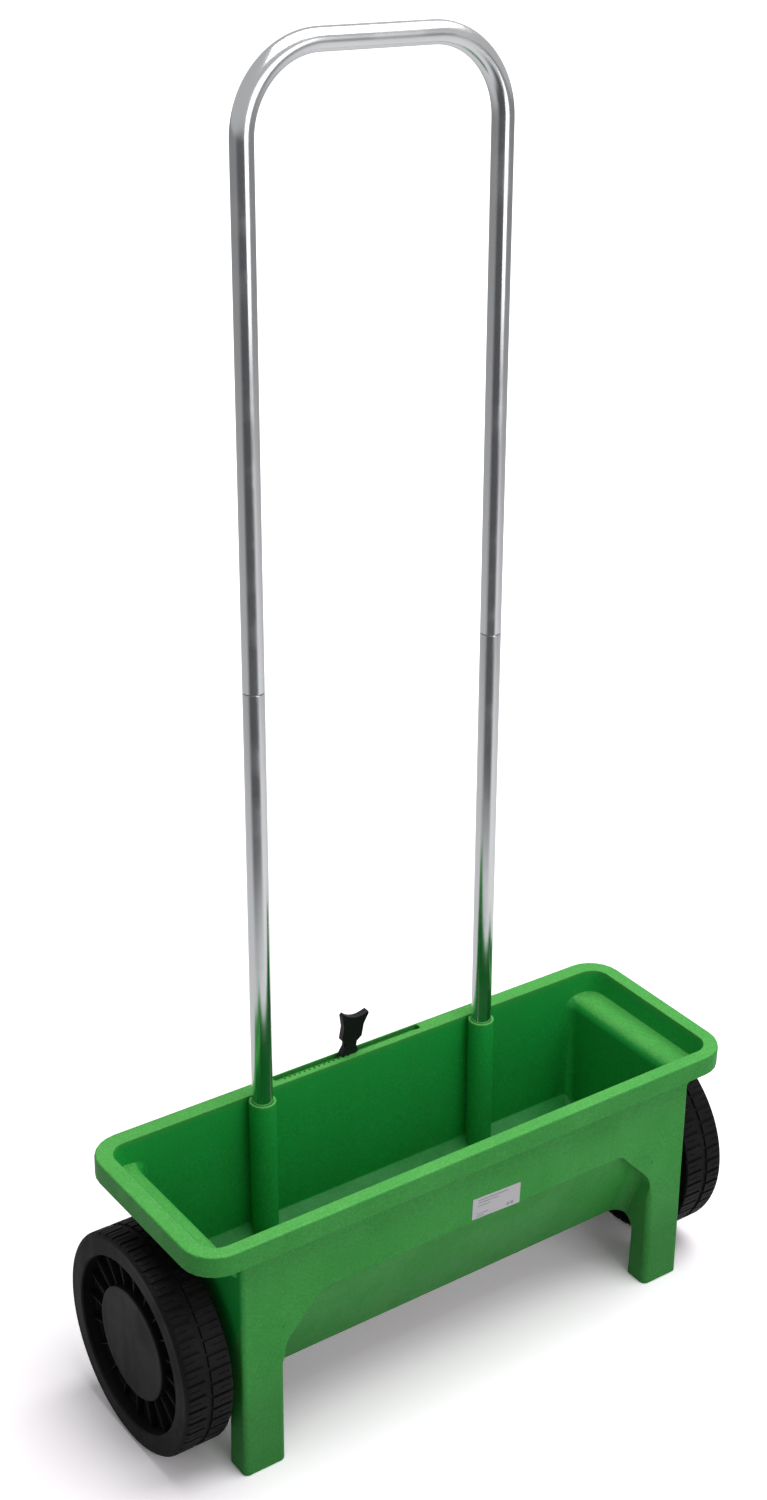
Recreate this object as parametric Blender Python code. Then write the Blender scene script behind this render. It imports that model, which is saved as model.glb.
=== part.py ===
"""Drop spreader: a trough hopper on two wheels, with a U-shaped tube handle and a metering lever.

Metres, +Z up. The ground is z = 0, X runs along the axle, -Y is the side with the legs and the
label, and the hopper's opening is centred on x = y = 0.
"""

import math

import bmesh
import bpy
from mathutils import Matrix, Vector

# Clearances
GAP = 0.0003
RUNNING_GAP = 0.0004
SCREW_GAP = 0.0003
OVERCUT = 0.002
SEAT = 0.0002
MERGE_DISTANCE = 0.000001
SLIVER = 0.0000001

# Hopper rim
RIM_TOP = 0.248
RIM_CORNER = 0.032
RIM_FACE_ENDS = 0.0155
RIM_FACE_FRONT = 0.0135
RIM_FACE_REAR = 0.0170
RIM_EDGE = 0.0021
RIM_PLATE = 0.003
OPENING_WIDTH = 0.171
MOUTH_CORNER = 0.017
MOUTH_EDGE = 0.0008
SKIRT_DEPTH = 0.0205
SKIRT_WALL = 0.0028

# Hopper body
WALL = 0.003
BODY_LENGTH = 0.497
BODY_EDGE = 0.0045
FRONT_LEAN = 0.0075
STEP_Z = 0.1655
STEP_DEPTH = 0.004
PANEL_SETBACK = 0.046
PANEL_FOOT_Z = 0.066
FLOOR_TOP = 0.076
FLOOR_HALF_WIDTH = 0.020
RAMP_TOP = 0.112
REAR_LEAN = 0.0075
SHOULDER_RADIUS = 0.013
SHELF_DROP = 0.0245
SHELF_RISE = 0.0006
SHELF_DRAFT = 0.002
CAVITY_CORNER = 0.010

# Legs, one at each end of the front
LEG_WIDTH = 0.042
LEG_DEPTH = 0.0245
LEG_ARCH = 0.015
LEG_ROUND = 0.006
LEG_ROUND_END = 0.0005
LEG_POCKET_MARGIN = 0.006
LEG_POCKET_DEPTH = 0.005
RECESS_CORNER_WIDTH = 0.039
RECESS_CORNER_HEIGHT = 0.0416
RECESS_RADIUS_LOW = 0.025
RECESS_RADIUS_HIGH = 0.012
PANEL_FILLET = 0.014

# Axle and wheels
WHEEL_RADIUS = 0.1015
WHEEL_WIDTH = 0.045
AXLE_Y = 0.006
AXLE_RADIUS = 0.005
AXLE_DRIFT = 0.003
WHEEL_SHOW = 0.0101
TREAD_WALL = 0.0035
TREAD_EDGE = 0.0035
TREAD_GROOVE_WIDTH = 0.005
TREAD_GROOVE_DEPTH = 0.0018
TREAD_CUTS = 48
TREAD_PHASE = 0.25
TREAD_STAGGER = 0.5
TREAD_CUT_WIDTH = 0.0026
RECESS_RADIUS = 0.081
RECESS_DEPTH = 0.014
WEB = 0.003
DRUM_RADIUS = 0.0515
HUB_RADIUS = 0.015
HUB_LENGTH = 0.0355
HUB_BOSS = 0.0012
RIB_COUNT = 20
RIB_THICKNESS = 0.0018
RIB_HEIGHT = 0.006
CAP_RADIUS = 0.052
CAP_THICKNESS = 0.0032
CAP_INSET = 0.004
CAP_EDGE = 0.001
BUSH_WALL = 0.0022
BUSH_FLANGE_RADIUS = 0.011
BUSH_FLANGE = 0.0015
WASHER_RADIUS = 0.010
WASHER_THICKNESS = 0.0015
CLIP_RADIUS = 0.009
CLIP_THICKNESS = 0.0012
PIN_RADIUS = 0.0015
DRIVE_PIN_LENGTH = 0.024
DRIVE_SLOT_DEPTH = 0.0042

# Agitator
AGITATOR_RADIUS = 0.0085
AGITATOR_END_GAP = 0.0235
FINGER_REACH = 0.0225
FINGER_WIDTH = 0.006
FINGER_THICKNESS = 0.004
FINGER_TWIST = math.radians(40.0)

# Outlets and the shutter under them
OUTLET_COUNT = 11
OUTLET_END_MARGIN = 0.0455
OUTLET_LENGTH = 0.018
OUTLET_WIDTH = 0.012
OUTLET_CORNER = 0.003
SHUTTER_STROKE = 0.013
SHUTTER_THICKNESS = 0.002
SHUTTER_COVER = 0.004
SHUTTER_REAR_BAND = 0.009
SHUTTER_END_BAND = 0.006
TAB_WIDTH = 0.020
TAB_END = 0.0055
LIP_FRONT_SETBACK = 0.001
LIP_REAR_SETBACK = 0.006
LIP_THICKNESS = 0.0022
RAIL_BASE = 0.013
RAIL_END_INSET = 0.018
SCREW_ROW_OFFSET = 0.0065
FRONT_SCREW_SHIFT = 0.003
SCREW_RADIUS = 0.0014
SCREW_HEAD_RADIUS = 0.003
SCREW_HEAD = 0.0016
SCREW_DEPTH = 0.003
SCREW_BOSS_RADIUS = 0.005
SCREW_BOSS_HEIGHT = 0.008
FRONT_SCREW_INSET = 0.0685
REAR_SCREW_INSET = 0.0585
TAB_SCREW_REACH = 0.036

# Metering lever, which slides along the notched slot and moves the shutter by a slanting slot
LEVER_X = -0.0185
LEVER_STROKE = 0.0728
LEVER_THICKNESS = 0.003
LEVER_WIDTH = 0.011
LEVER_SETBACK = 0.0045
CAM_PIN_INSET = 0.0075
CAM_PIN_RADIUS = 0.0025
CAM_PLATE_THICKNESS = 0.0028
CAM_PLATE_MARGIN = 0.0052
CAM_BRACE = 0.008
CAM_BRACE_HEIGHT = 0.014
SLOT_END_GAP = 0.0018
SLOT_REACH = 0.0829
SLOT_WIDTH = 0.0085
SLOT_END_RADIUS = 0.0028
SLOT_SETBACK = 0.004
TOOTH_COUNT = 14
TOOTH_PITCH = 0.00535
TOOTH_HALF_WIDTH = 0.0021
TOOTH_DEPTH = 0.0028
TOOTH_MARGIN = 0.0092
GRIP_HEIGHT = 0.0435
GRIP_LEAN = math.radians(9.0)
GRIP_FOOT_WIDTH = 0.018
GRIP_FOOT_HEIGHT = 0.003
GRIP_NECK_WIDTH = 0.0126
GRIP_NECK_START = 0.0085
GRIP_NECK_END = 0.0125
GRIP_WAIST_WIDTH = 0.022
GRIP_WAIST_START = 0.0170
GRIP_WAIST_END = 0.0295
GRIP_TOP_WIDTH = 0.0295
GRIP_HORN = 0.0025
GRIP_HORN_SLOPE = 0.0015
GRIP_DIP = 0.0045
GRIP_DEPTH = 0.0068
KEEPER_Z = 0.124
KEEPER_HEIGHT = 0.011
KEEPER_THICKNESS = 0.002
KEEPER_END = 0.0065
KEEPER_BOSS_RADIUS = 0.0045
KEEPER_SIDE_GAP = 0.004
KEEPER_RIB_HEIGHT = 0.006
KEEPER_SCREW_DEPTH = 0.0055

# Handle
TUBE_RADIUS = 0.0095
TUBE_WALL = 0.0008
TUBE_SPACING = 0.247
TUBE_INSET = 0.0128
HANDLE_LEAN = math.radians(2.0)
JOINT_HEIGHT = 0.3966
HANDLE_HEIGHT = 0.9123
BEND_RADIUS = 0.070
SPIGOT_LENGTH = 0.060
SPIGOT_TAPER = 0.003
SOCKET_RADIUS = 0.0126
SOCKET_DEPTH = 0.1215
SOCKET_SCREW_DROP = 0.048
SOCKET_SCREW_RADIUS = 0.002
SOCKET_SCREW_HEAD_RADIUS = 0.004
SOCKET_SCREW_HEAD = 0.002
SOCKET_SCREW_TIP = 0.0032
RIVET_DROP = 0.030
RIVET_RADIUS = 0.0018
RIVET_HEAD_RADIUS = 0.0034
RIVET_HEAD = 0.001

# Blank label on the front band
LABEL_LENGTH = 0.054
LABEL_HEIGHT = 0.0215
LABEL_THICKNESS = 0.0004
LABEL_CORNER = 0.0008
LABEL_X = 0.0185
LABEL_Z = 0.1780
LABEL_TILT = math.radians(2.5)
LABEL_GAP = 0.00005

# Roundness of the mesh
CORNER_STEPS = 6
SMALL_CORNER_STEPS = 3
OUTLET_CORNER_STEPS = 2
EDGE_STEPS = 2
SMOOTH_ANGLE = math.radians(30.0)
EMPTY_SIZE = 0.05
ROUND_SIDES = 16
PIN_SIDES = 12
HOLE_SIDES = 10
TUBE_SIDES = 16
WHEEL_SIDES = 48
BEND_STEPS = 7

# Places worked out from the sizes above
HALF_BODY = BODY_LENGTH / 2
WHEEL_GAP = 3 * GAP + BUSH_FLANGE + WASHER_THICKNESS + HUB_BOSS + AXLE_DRIFT
RIM_OVERHANG = WHEEL_GAP + WHEEL_WIDTH - WHEEL_SHOW
RIM_HALF = HALF_BODY + RIM_OVERHANG
RIM_FOOT = RIM_TOP - SKIRT_DEPTH
OPENING_X = RIM_HALF - RIM_FACE_ENDS
OPENING_Y = OPENING_WIDTH / 2
RIM_HALF_WIDTH = OPENING_Y + (RIM_FACE_FRONT + RIM_FACE_REAR) / 2
RIM_MIDDLE = (0.0, (RIM_FACE_REAR - RIM_FACE_FRONT) / 2)
REAR_RIM_Y = OPENING_Y + WALL
REAR_FOOT_Y = REAR_RIM_Y - REAR_LEAN
FRONT_RIM_Y = -OPENING_Y - WALL
FOOT_Y = FRONT_RIM_Y - FRONT_LEAN
PANEL_FOOT_Y = FOOT_Y + PANEL_SETBACK
FLOOR_FOOT = FLOOR_TOP - WALL
SHELF_TOP = RIM_TOP - SHELF_DROP
SHOULDER_FOOT = SHELF_TOP - SHOULDER_RADIUS
LEG_INNER_X = HALF_BODY - LEG_WIDTH
AXLE_Z = WHEEL_RADIUS
WHEEL_INNER_X = HALF_BODY + WHEEL_GAP
WHEEL_OUTER_X = WHEEL_INNER_X + WHEEL_WIDTH
AXLE_BORE = AXLE_RADIUS + GAP
AGITATOR_LENGTH = HALF_BODY - WALL - AGITATOR_END_GAP
OUTLET_PITCH = 2 * (HALF_BODY - WALL - OUTLET_END_MARGIN) / (OUTLET_COUNT - 1)
SHUTTER_TOP = FLOOR_FOOT - GAP
SHUTTER_FOOT = SHUTTER_TOP - SHUTTER_THICKNESS
SHUTTER_HALF = (OUTLET_COUNT - 1) * OUTLET_PITCH / 2 + OUTLET_LENGTH / 2 + SHUTTER_END_BAND
SHUTTER_FRONT = AXLE_Y - OUTLET_WIDTH / 2 - SHUTTER_COVER
SHUTTER_REAR = AXLE_Y + OUTLET_WIDTH / 2 + SHUTTER_STROKE + SHUTTER_REAR_BAND
LIP_TOP = SHUTTER_FOOT - GAP
RAIL_FOOT = LIP_TOP - LIP_THICKNESS
FRONT_RAIL_Y = SHUTTER_FRONT - SHUTTER_STROKE - RUNNING_GAP
REAR_RAIL_Y = SHUTTER_REAR + RUNNING_GAP
FRONT_SCREW_Y = FRONT_RAIL_Y - SCREW_ROW_OFFSET - FRONT_SCREW_SHIFT
REAR_SCREW_Y = REAR_RAIL_Y + SCREW_ROW_OFFSET
CAM_PIN_X = LEVER_X - LEVER_STROKE / 2
CAM_PIN_Y = REAR_RIM_Y - CAM_PIN_INSET
FRONT_SCREWS_X = (FRONT_SCREW_INSET - HALF_BODY, 0.0, HALF_BODY - FRONT_SCREW_INSET)
REAR_SCREWS_X = (
    REAR_SCREW_INSET - HALF_BODY,
    CAM_PIN_X - TAB_SCREW_REACH,
    CAM_PIN_X + TAB_SCREW_REACH,
    HALF_BODY - REAR_SCREW_INSET,
)
CAM_PLATE_TOP = SHUTTER_FOOT - RUNNING_GAP
CAM_PLATE_FOOT = CAM_PLATE_TOP - CAM_PLATE_THICKNESS
LEVER_FRONT_Y = REAR_RIM_Y + LEVER_SETBACK
LEVER_REAR_Y = LEVER_FRONT_Y + LEVER_THICKNESS
SLOT_NEAR_Y = REAR_RIM_Y + SLOT_SETBACK
SLOT_LOW_X = LEVER_X - LEVER_STROKE - LEVER_WIDTH / 2 - SLOT_END_GAP
SLOT_HIGH_X = LEVER_X + SLOT_REACH
KEEPER_BOSS_Y = LEVER_REAR_Y + RUNNING_GAP - GAP
KEEPER_FRONT_Y = LEVER_REAR_Y + RUNNING_GAP
KEEPER_X = (
    LEVER_X - LEVER_STROKE - LEVER_WIDTH / 2 - KEEPER_SIDE_GAP - KEEPER_BOSS_RADIUS,
    LEVER_X + LEVER_WIDTH / 2 + KEEPER_SIDE_GAP + KEEPER_BOSS_RADIUS,
)
TUBE_Y = REAR_RIM_Y - TUBE_INSET
HANDLE_AXIS = Vector((0.0, math.sin(HANDLE_LEAN), math.cos(HANDLE_LEAN)))
HANDLE_BACK = Vector((0.0, math.cos(HANDLE_LEAN), -math.sin(HANDLE_LEAN)))
TUBE_INNER = TUBE_RADIUS - TUBE_WALL
SPIGOT_RADIUS = TUBE_INNER - GAP
SIDES = (("left", -1.0), ("right", 1.0))


def front_y(height):
    """Y of the leaning front face at this height."""
    return FOOT_Y + (FRONT_RIM_Y - FOOT_Y) * height / RIM_TOP


def parallel(start, end, distance):
    """The line through two (y, z) points, moved sideways to the right of its direction."""
    along = (Vector(end) - Vector(start)).normalized()
    shift = Vector((along.y, -along.x)) * distance
    return Vector(start) + shift, Vector(end) + shift


def meet(first, second):
    """The point where two lines cross."""
    a, b = first
    c, d = second
    u, v = b - a, d - c
    share = ((c.x - a.x) * v.y - (c.y - a.y) * v.x) / (u.x * v.y - u.y * v.x)
    return a + u * share


def level(height):
    """A level line at this height."""
    return Vector((0.0, height)), Vector((1.0, height))


def fillet(points, radii, steps=CORNER_STEPS):
    """The outline with each corner whose radius isn't 0 turned into an arc."""
    rounded = []
    for index, (point, radius) in enumerate(zip(points, radii)):
        corner = Vector(point)
        if not radius:
            rounded.append(tuple(corner))
            continue
        back = (Vector(points[index - 1]) - corner).normalized()
        ahead = (Vector(points[(index + 1) % len(points)]) - corner).normalized()
        half = back.angle(ahead) / 2
        centre = corner + (back + ahead).normalized() * radius / math.sin(half)
        start = corner + back * radius / math.tan(half) - centre
        end = corner + ahead * radius / math.tan(half) - centre
        turn = start.angle_signed(end)
        for step in range(steps + 1):
            angle = -turn * step / steps
            x = start.x * math.cos(angle) - start.y * math.sin(angle)
            y = start.x * math.sin(angle) + start.y * math.cos(angle)
            rounded.append((centre.x + x, centre.y + y))
    return rounded


def rounded_rectangle(half_x, half_y, radius, centre=(0.0, 0.0), steps=CORNER_STEPS):
    x, y = centre
    corners = [
        (x - half_x, y - half_y),
        (x + half_x, y - half_y),
        (x + half_x, y + half_y),
        (x - half_x, y + half_y),
    ]
    return fillet(corners, [radius] * 4, steps)


def circle(radius, centre=(0.0, 0.0), sides=ROUND_SIDES):
    return [
        (
            centre[0] + radius * math.cos(2 * math.pi * (side + 0.5) / sides),
            centre[1] + radius * math.sin(2 * math.pi * (side + 0.5) / sides),
        )
        for side in range(sides)
    ]


def placed(point, axis, height):
    """A point of an outline drawn square to the axis: (y, z), (x, z) or (x, y), at this height."""
    first, second = point
    if axis == "X":
        return Vector((height, first, second))
    if axis == "Y":
        return Vector((first, height, second))
    return Vector((first, second, height))


def solid(name, bm):
    """A closed object made from this bmesh, with its faces turned outwards."""
    bmesh.ops.recalc_face_normals(bm, faces=bm.faces)
    mesh = bpy.data.meshes.new(name)
    bm.to_mesh(mesh)
    bm.free()
    obj = bpy.data.objects.new(name, mesh)
    bpy.context.scene.collection.objects.link(obj)
    return obj


def loft(name, rings):
    """A solid through rings of as many points each, with flat ends."""
    bm = bmesh.new()
    rows = [[bm.verts.new(point) for point in ring] for ring in rings]
    for low, high in zip(rows, rows[1:]):
        for index in range(len(low)):
            after = (index + 1) % len(low)
            bm.faces.new((low[index], low[after], high[after], high[index]))
    bm.faces.new(rows[0])
    bm.faces.new(rows[-1])
    return solid(name, bm)


def prism(name, outline, axis, low, high):
    """A solid of this outline, drawn square to the axis, from low to high along it."""
    bm = bmesh.new()
    face = bm.faces.new([bm.verts.new(placed(point, axis, low)) for point in outline])
    swept = bmesh.ops.extrude_face_region(bm, geom=[face])
    moved = [item for item in swept["geom"] if isinstance(item, bmesh.types.BMVert)]
    bmesh.ops.translate(bm, verts=moved, vec=placed((0.0, 0.0), axis, high - low))
    return solid(name, bm)


def box(name, low, high):
    outline = [(low[0], low[1]), (high[0], low[1]), (high[0], high[1]), (low[0], high[1])]
    return prism(name, outline, "Z", low[2], high[2])


def rod(name, radius, centre, axis, low, high, sides=ROUND_SIDES):
    return prism(name, circle(radius, centre, sides), axis, low, high)


def turned(name, profile, sides):
    """A solid turned about the X axis from a closed outline of (x, radius) points, flats down."""
    bm = bmesh.new()
    half = math.pi / sides
    corners = [
        bm.verts.new((x, radius * math.tan(half), radius)) for x, radius in profile
    ]
    edges = [bm.edges.new((corners[i - 1], corners[i])) for i in range(len(corners))]
    bmesh.ops.spin(
        bm,
        geom=edges,
        cent=(0.0, 0.0, 0.0),
        axis=(1.0, 0.0, 0.0),
        angle=2 * math.pi,
        steps=sides,
        use_merge=True,
    )
    bmesh.ops.remove_doubles(bm, verts=bm.verts, dist=MERGE_DISTANCE)
    bmesh.ops.dissolve_degenerate(bm, edges=bm.edges, dist=SLIVER)
    return solid(name, bm)


def is_closed(mesh):
    """True where each edge of the mesh has exactly two faces."""
    bm = bmesh.new()
    bm.from_mesh(mesh)
    closed = all(edge.is_manifold for edge in bm.edges)
    bm.free()
    return closed


def boolean(target, other, operation):
    """Joins, cuts or trims the target by the other object, which is used up."""
    for solver in ("EXACT", "MANIFOLD"):
        modifier = target.modifiers.new(operation.title(), "BOOLEAN")
        modifier.operation = operation
        modifier.solver = solver
        modifier.object = other
        graph = bpy.context.evaluated_depsgraph_get()
        result = bpy.data.meshes.new_from_object(target.evaluated_get(graph))
        target.modifiers.clear()
        if is_closed(result):
            break
    target.data = result
    bpy.data.objects.remove(other, do_unlink=True)
    return target


def join(target, *others):
    for other in others:
        boolean(target, other, "UNION")
    return target


def cut(target, *others):
    for other in others:
        boolean(target, other, "DIFFERENCE")
    return target


def trim(target, other):
    return boolean(target, other, "INTERSECT")


def group(name, pieces):
    """Several solids that don't meet, as one object for a single cut or union."""
    bm = bmesh.new()
    for piece in pieces:
        piece.data.transform(piece.matrix_world)
        bm.from_mesh(piece.data)
        bpy.data.objects.remove(piece, do_unlink=True)
    return solid(name, bm)


def material(name, colour, roughness, metallic=0.0):
    made = bpy.data.materials.new(name)
    made.use_nodes = True
    shader = made.node_tree.nodes["Principled BSDF"]
    shader.inputs["Base Color"].default_value = (*colour, 1.0)
    shader.inputs["Roughness"].default_value = roughness
    shader.inputs["Metallic"].default_value = metallic
    made.diffuse_color = (*colour, 1.0)
    return made


def finish(obj, made, parent=None, origin=(0.0, 0.0, 0.0), smooth=True):
    """Gives an object its material, its origin on the joint's axis and its parent."""
    origin = Vector(origin)
    obj.data.transform(Matrix.Translation(-origin))
    obj.location = origin
    obj.data.materials.clear()
    obj.data.materials.append(made)
    if smooth:
        obj.data.shade_smooth()
        obj.data.set_sharp_from_angle(angle=SMOOTH_ANGLE)
    if parent is not None:
        obj.parent = parent
        obj.location = origin - parent.location
    return obj


def empty(name, place):
    made = bpy.data.objects.new(name, None)
    made.location = place
    made.empty_display_size = EMPTY_SIZE
    bpy.context.scene.collection.objects.link(made)
    return made


def on_handle(x, height, back=0.0):
    """A point of the handle's plane, this far up from the rim and this far behind the tube's axis."""
    return Vector((x, TUBE_Y, RIM_TOP)) + HANDLE_AXIS * height + HANDLE_BACK * back


def handle_rod(name, x, radius, low, high, sides=TUBE_SIDES):
    """A round bar along the handle's direction."""
    rings = [
        [on_handle(x + a, height, b) for a, b in circle(radius, sides=sides)]
        for height in (low, high)
    ]
    return loft(name, rings)


def inner_lines():
    """The inner surfaces of the trough as (y, z) lines: front wall, panel, ramp, slope, rear wall."""
    outer_top = (front_y(STEP_Z) + STEP_DEPTH, STEP_Z)
    panel = parallel((PANEL_FOOT_Y, PANEL_FOOT_Z), outer_top, WALL)
    front_corner = meet(panel, level(STEP_Z))
    ramp_corner = meet(panel, level(RAMP_TOP))
    floor_front = Vector((AXLE_Y - FLOOR_HALF_WIDTH, FLOOR_TOP))
    floor_rear = Vector((AXLE_Y + FLOOR_HALF_WIDTH, FLOOR_TOP))
    rear_corner = Vector((REAR_FOOT_Y, RAMP_TOP))
    return {
        "front": (Vector((-OPENING_Y, SHOULDER_FOOT)), front_corner),
        "panel": (front_corner, ramp_corner),
        "ramp": (ramp_corner, floor_front),
        "slope": (floor_rear, rear_corner),
        "rear": (rear_corner, Vector((OPENING_Y, SHOULDER_FOOT))),
    }


def trough_outline(lines):
    """The outside of the trough's section, with the space under the ramp still filled."""
    slope = parallel(*lines["slope"], WALL)
    rear = parallel(*lines["rear"], WALL)
    void = ramp_underside(lines)
    under_ramp = meet(void, level(FLOOR_FOOT))
    under_slope = meet(slope, level(FLOOR_FOOT))
    heel = meet(slope, rear)
    rim = RIM_TOP - RIM_PLATE / 2
    return [
        (front_y(rim), rim),
        (front_y(STEP_Z), STEP_Z),
        (front_y(STEP_Z) + STEP_DEPTH, STEP_Z),
        (PANEL_FOOT_Y, PANEL_FOOT_Z),
        (under_ramp.x, PANEL_FOOT_Z),
        (under_ramp.x, FLOOR_FOOT),
        (under_slope.x, FLOOR_FOOT),
        (heel.x, heel.y),
        (REAR_RIM_Y, SHOULDER_FOOT),
        (REAR_RIM_Y, rim),
    ]


def ramp_underside(lines):
    """The lower surface of the front ramp."""
    top, foot = lines["ramp"]
    return parallel(foot, top, -WALL)


def body_envelope():
    """The body's plan with rounded corners, leaning with the front face."""
    rings = []
    for height in (-OVERCUT, RIM_TOP):
        half = (REAR_RIM_Y - front_y(height)) / 2
        middle = (REAR_RIM_Y + front_y(height)) / 2
        plan = rounded_rectangle(HALF_BODY, half, BODY_EDGE, (0.0, middle), SMALL_CORNER_STEPS)
        rings.append([Vector((x, y, height)) for x, y in plan])
    return loft("envelope", rings)


def quarter_turn(radius, steps):
    """Points of a quarter circle as (inwards, upwards), from its foot at the side to its top."""
    angles = [math.pi / 2 * step / steps for step in range(steps + 1)]
    return [(radius * (1 - math.cos(angle)), radius * math.sin(angle)) for angle in angles]


def rim_solid():
    """The rim plate with its skirt, open underneath."""
    rings = []
    edge = [(inset, RIM_TOP - RIM_EDGE + rise) for inset, rise in quarter_turn(RIM_EDGE, EDGE_STEPS)]
    for inset, height in [(0.0, RIM_FOOT)] + edge:
        plan = rounded_rectangle(
            RIM_HALF - inset, RIM_HALF_WIDTH - inset, RIM_CORNER - inset, RIM_MIDDLE
        )
        rings.append([Vector((x, y, height)) for x, y in plan])
    plan = rounded_rectangle(
        RIM_HALF - SKIRT_WALL, RIM_HALF_WIDTH - SKIRT_WALL, RIM_CORNER - SKIRT_WALL, RIM_MIDDLE
    )
    hollow = prism("skirt_hollow", plan, "Z", RIM_FOOT - OVERCUT, RIM_TOP - RIM_PLATE)
    return cut(loft("rim", rings), hollow)


def shelf_solid():
    """The widened top of the trough, which carries the shelves over the wheels."""
    rings = []
    for half_x, height in (
        (OPENING_X + WALL - SHELF_DRAFT, SHELF_TOP - WALL),
        (OPENING_X + WALL, RIM_TOP - RIM_PLATE / 2),
    ):
        plan = rounded_rectangle(half_x, REAR_RIM_Y, MOUTH_CORNER + WALL)
        rings.append([Vector((x, y, height)) for x, y in plan])
    shelf = loft("shelf", rings)
    for _, side in SIDES:
        low = SHOULDER_FOOT - WALL
        outline = [
            (side * (HALF_BODY - WALL), low - WALL),
            (side * HALF_BODY, low),
            (side * (HALF_BODY + SHOULDER_RADIUS), SHELF_TOP - WALL),
            (side * (HALF_BODY + SHOULDER_RADIUS), SHELF_TOP - WALL / 2),
            (side * (HALF_BODY - WALL), SHELF_TOP - WALL / 2),
        ]
        reach = REAR_RIM_Y - BODY_EDGE
        join(shelf, prism("shoulder", outline, "Y", -reach, reach))
    return shelf


def cavity(lines):
    """The inside of the hopper: trough, rounded shoulders, shelves and mouth in one piece."""
    wall_x = HALF_BODY - WALL
    sections = [
        (wall_x, lines["ramp"][1].x, lines["slope"][0].x, CAVITY_CORNER, FLOOR_TOP),
        (wall_x, lines["ramp"][0].x, lines["slope"][1].x, CAVITY_CORNER, RAMP_TOP),
        (wall_x, lines["front"][1].x, meet(lines["rear"], level(STEP_Z)).x, CAVITY_CORNER, STEP_Z),
    ]
    for inwards, upwards in quarter_turn(SHOULDER_RADIUS, CORNER_STEPS):
        height = SHOULDER_FOOT + upwards
        sections.append((wall_x + inwards, -OPENING_Y, OPENING_Y, CAVITY_CORNER, height))
    shelf_x = OPENING_X - SHELF_DRAFT
    sections.append((shelf_x, -OPENING_Y, OPENING_Y, MOUTH_CORNER, SHELF_TOP + SHELF_RISE))
    for spread, height in (
        (0.0, RIM_TOP - MOUTH_EDGE),
        (MOUTH_EDGE + OVERCUT, RIM_TOP + OVERCUT),
    ):
        front = -OPENING_Y - spread
        corner = MOUTH_CORNER + spread
        sections.append((OPENING_X + spread, front, OPENING_Y + spread, corner, height))
    rings = []
    for half_x, front, rear, corner, height in sections:
        middle = (0.0, (front + rear) / 2)
        plan = rounded_rectangle(half_x, (rear - front) / 2, corner, middle)
        rings.append([Vector((x, y, height)) for x, y in plan])
    return loft("cavity", rings)


def leg_block(side, lines):
    """A leg with the side plates that join it to the end of the trough."""
    recess = [
        (HALF_BODY + OVERCUT, -OVERCUT),
        (LEG_INNER_X, -OVERCUT),
        (LEG_INNER_X, STEP_Z - RECESS_CORNER_HEIGHT),
        (LEG_INNER_X - RECESS_CORNER_WIDTH, STEP_Z),
        (LEG_INNER_X - 2 * RECESS_CORNER_WIDTH, STEP_Z),
        (LEG_INNER_X - 2 * RECESS_CORNER_WIDTH, STEP_Z + WALL),
        (HALF_BODY + OVERCUT, STEP_Z + WALL),
    ]
    radii = [0, 0, RECESS_RADIUS_LOW, RECESS_RADIUS_HIGH, 0, 0, 0]
    face = [(side * x, z) for x, z in fillet(recess, radii)]
    block = prism("leg", face, "Y", FOOT_Y - OVERCUT, AXLE_Y)
    rear = FOOT_Y + LEG_DEPTH
    profile = [
        (FOOT_Y - OVERCUT, 0.0),
        (rear, 0.0),
        (rear, PANEL_FOOT_Z),
        (PANEL_FOOT_Y + WALL, PANEL_FOOT_Z),
        (lines["panel"][0].x, STEP_Z),
        (lines["panel"][0].x, STEP_Z + WALL),
        (FOOT_Y - OVERCUT, STEP_Z + WALL),
    ]
    radii = [0, 0, LEG_ARCH, 0, 0, 0, 0]
    side_view = prism("leg_side", fillet(profile, radii), "X", -HALF_BODY, HALF_BODY)
    trim(block, side_view)
    trim(block, body_envelope())
    return cut(block, leg_round(side))


def leg_round(side):
    """The cutter that rounds a leg's inner front edge and runs out below the recess's bend."""
    half_bend = math.atan2(RECESS_CORNER_WIDTH, RECESS_CORNER_HEIGHT) / 2
    bend_foot = STEP_Z - RECESS_CORNER_HEIGHT - RECESS_RADIUS_LOW * math.tan(half_bend)
    rings = []
    for height, radius in (
        (-OVERCUT, LEG_ROUND),
        (bend_foot - 2 * LEG_ROUND, LEG_ROUND),
        (bend_foot, LEG_ROUND_END),
    ):
        front = front_y(height)
        points = [
            (LEG_INNER_X - OVERCUT, front + radius),
            (LEG_INNER_X - OVERCUT, front - OVERCUT),
            (LEG_INNER_X + radius, front - OVERCUT),
        ]
        for inwards, across in quarter_turn(radius, CORNER_STEPS):
            points.append((LEG_INNER_X + radius - across, front + inwards))
        rings.append([Vector((side * x, y, height)) for x, y in points])
    return loft("leg_round", rings)


def leg_pocket(side):
    """A shallow recess in the rear face of a leg."""
    half_x = LEG_WIDTH / 2 - LEG_POCKET_MARGIN
    half_z = (PANEL_FOOT_Z - LEG_ARCH) / 2 - LEG_POCKET_MARGIN
    centre = (side * (HALF_BODY - LEG_WIDTH / 2), half_z + LEG_POCKET_MARGIN)
    outline = rounded_rectangle(half_x, half_z, LEG_POCKET_MARGIN / 2, centre, SMALL_CORNER_STEPS)
    rear = FOOT_Y + LEG_DEPTH
    return prism("leg_pocket", outline, "Y", rear - LEG_POCKET_DEPTH, rear + OVERCUT)


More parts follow.
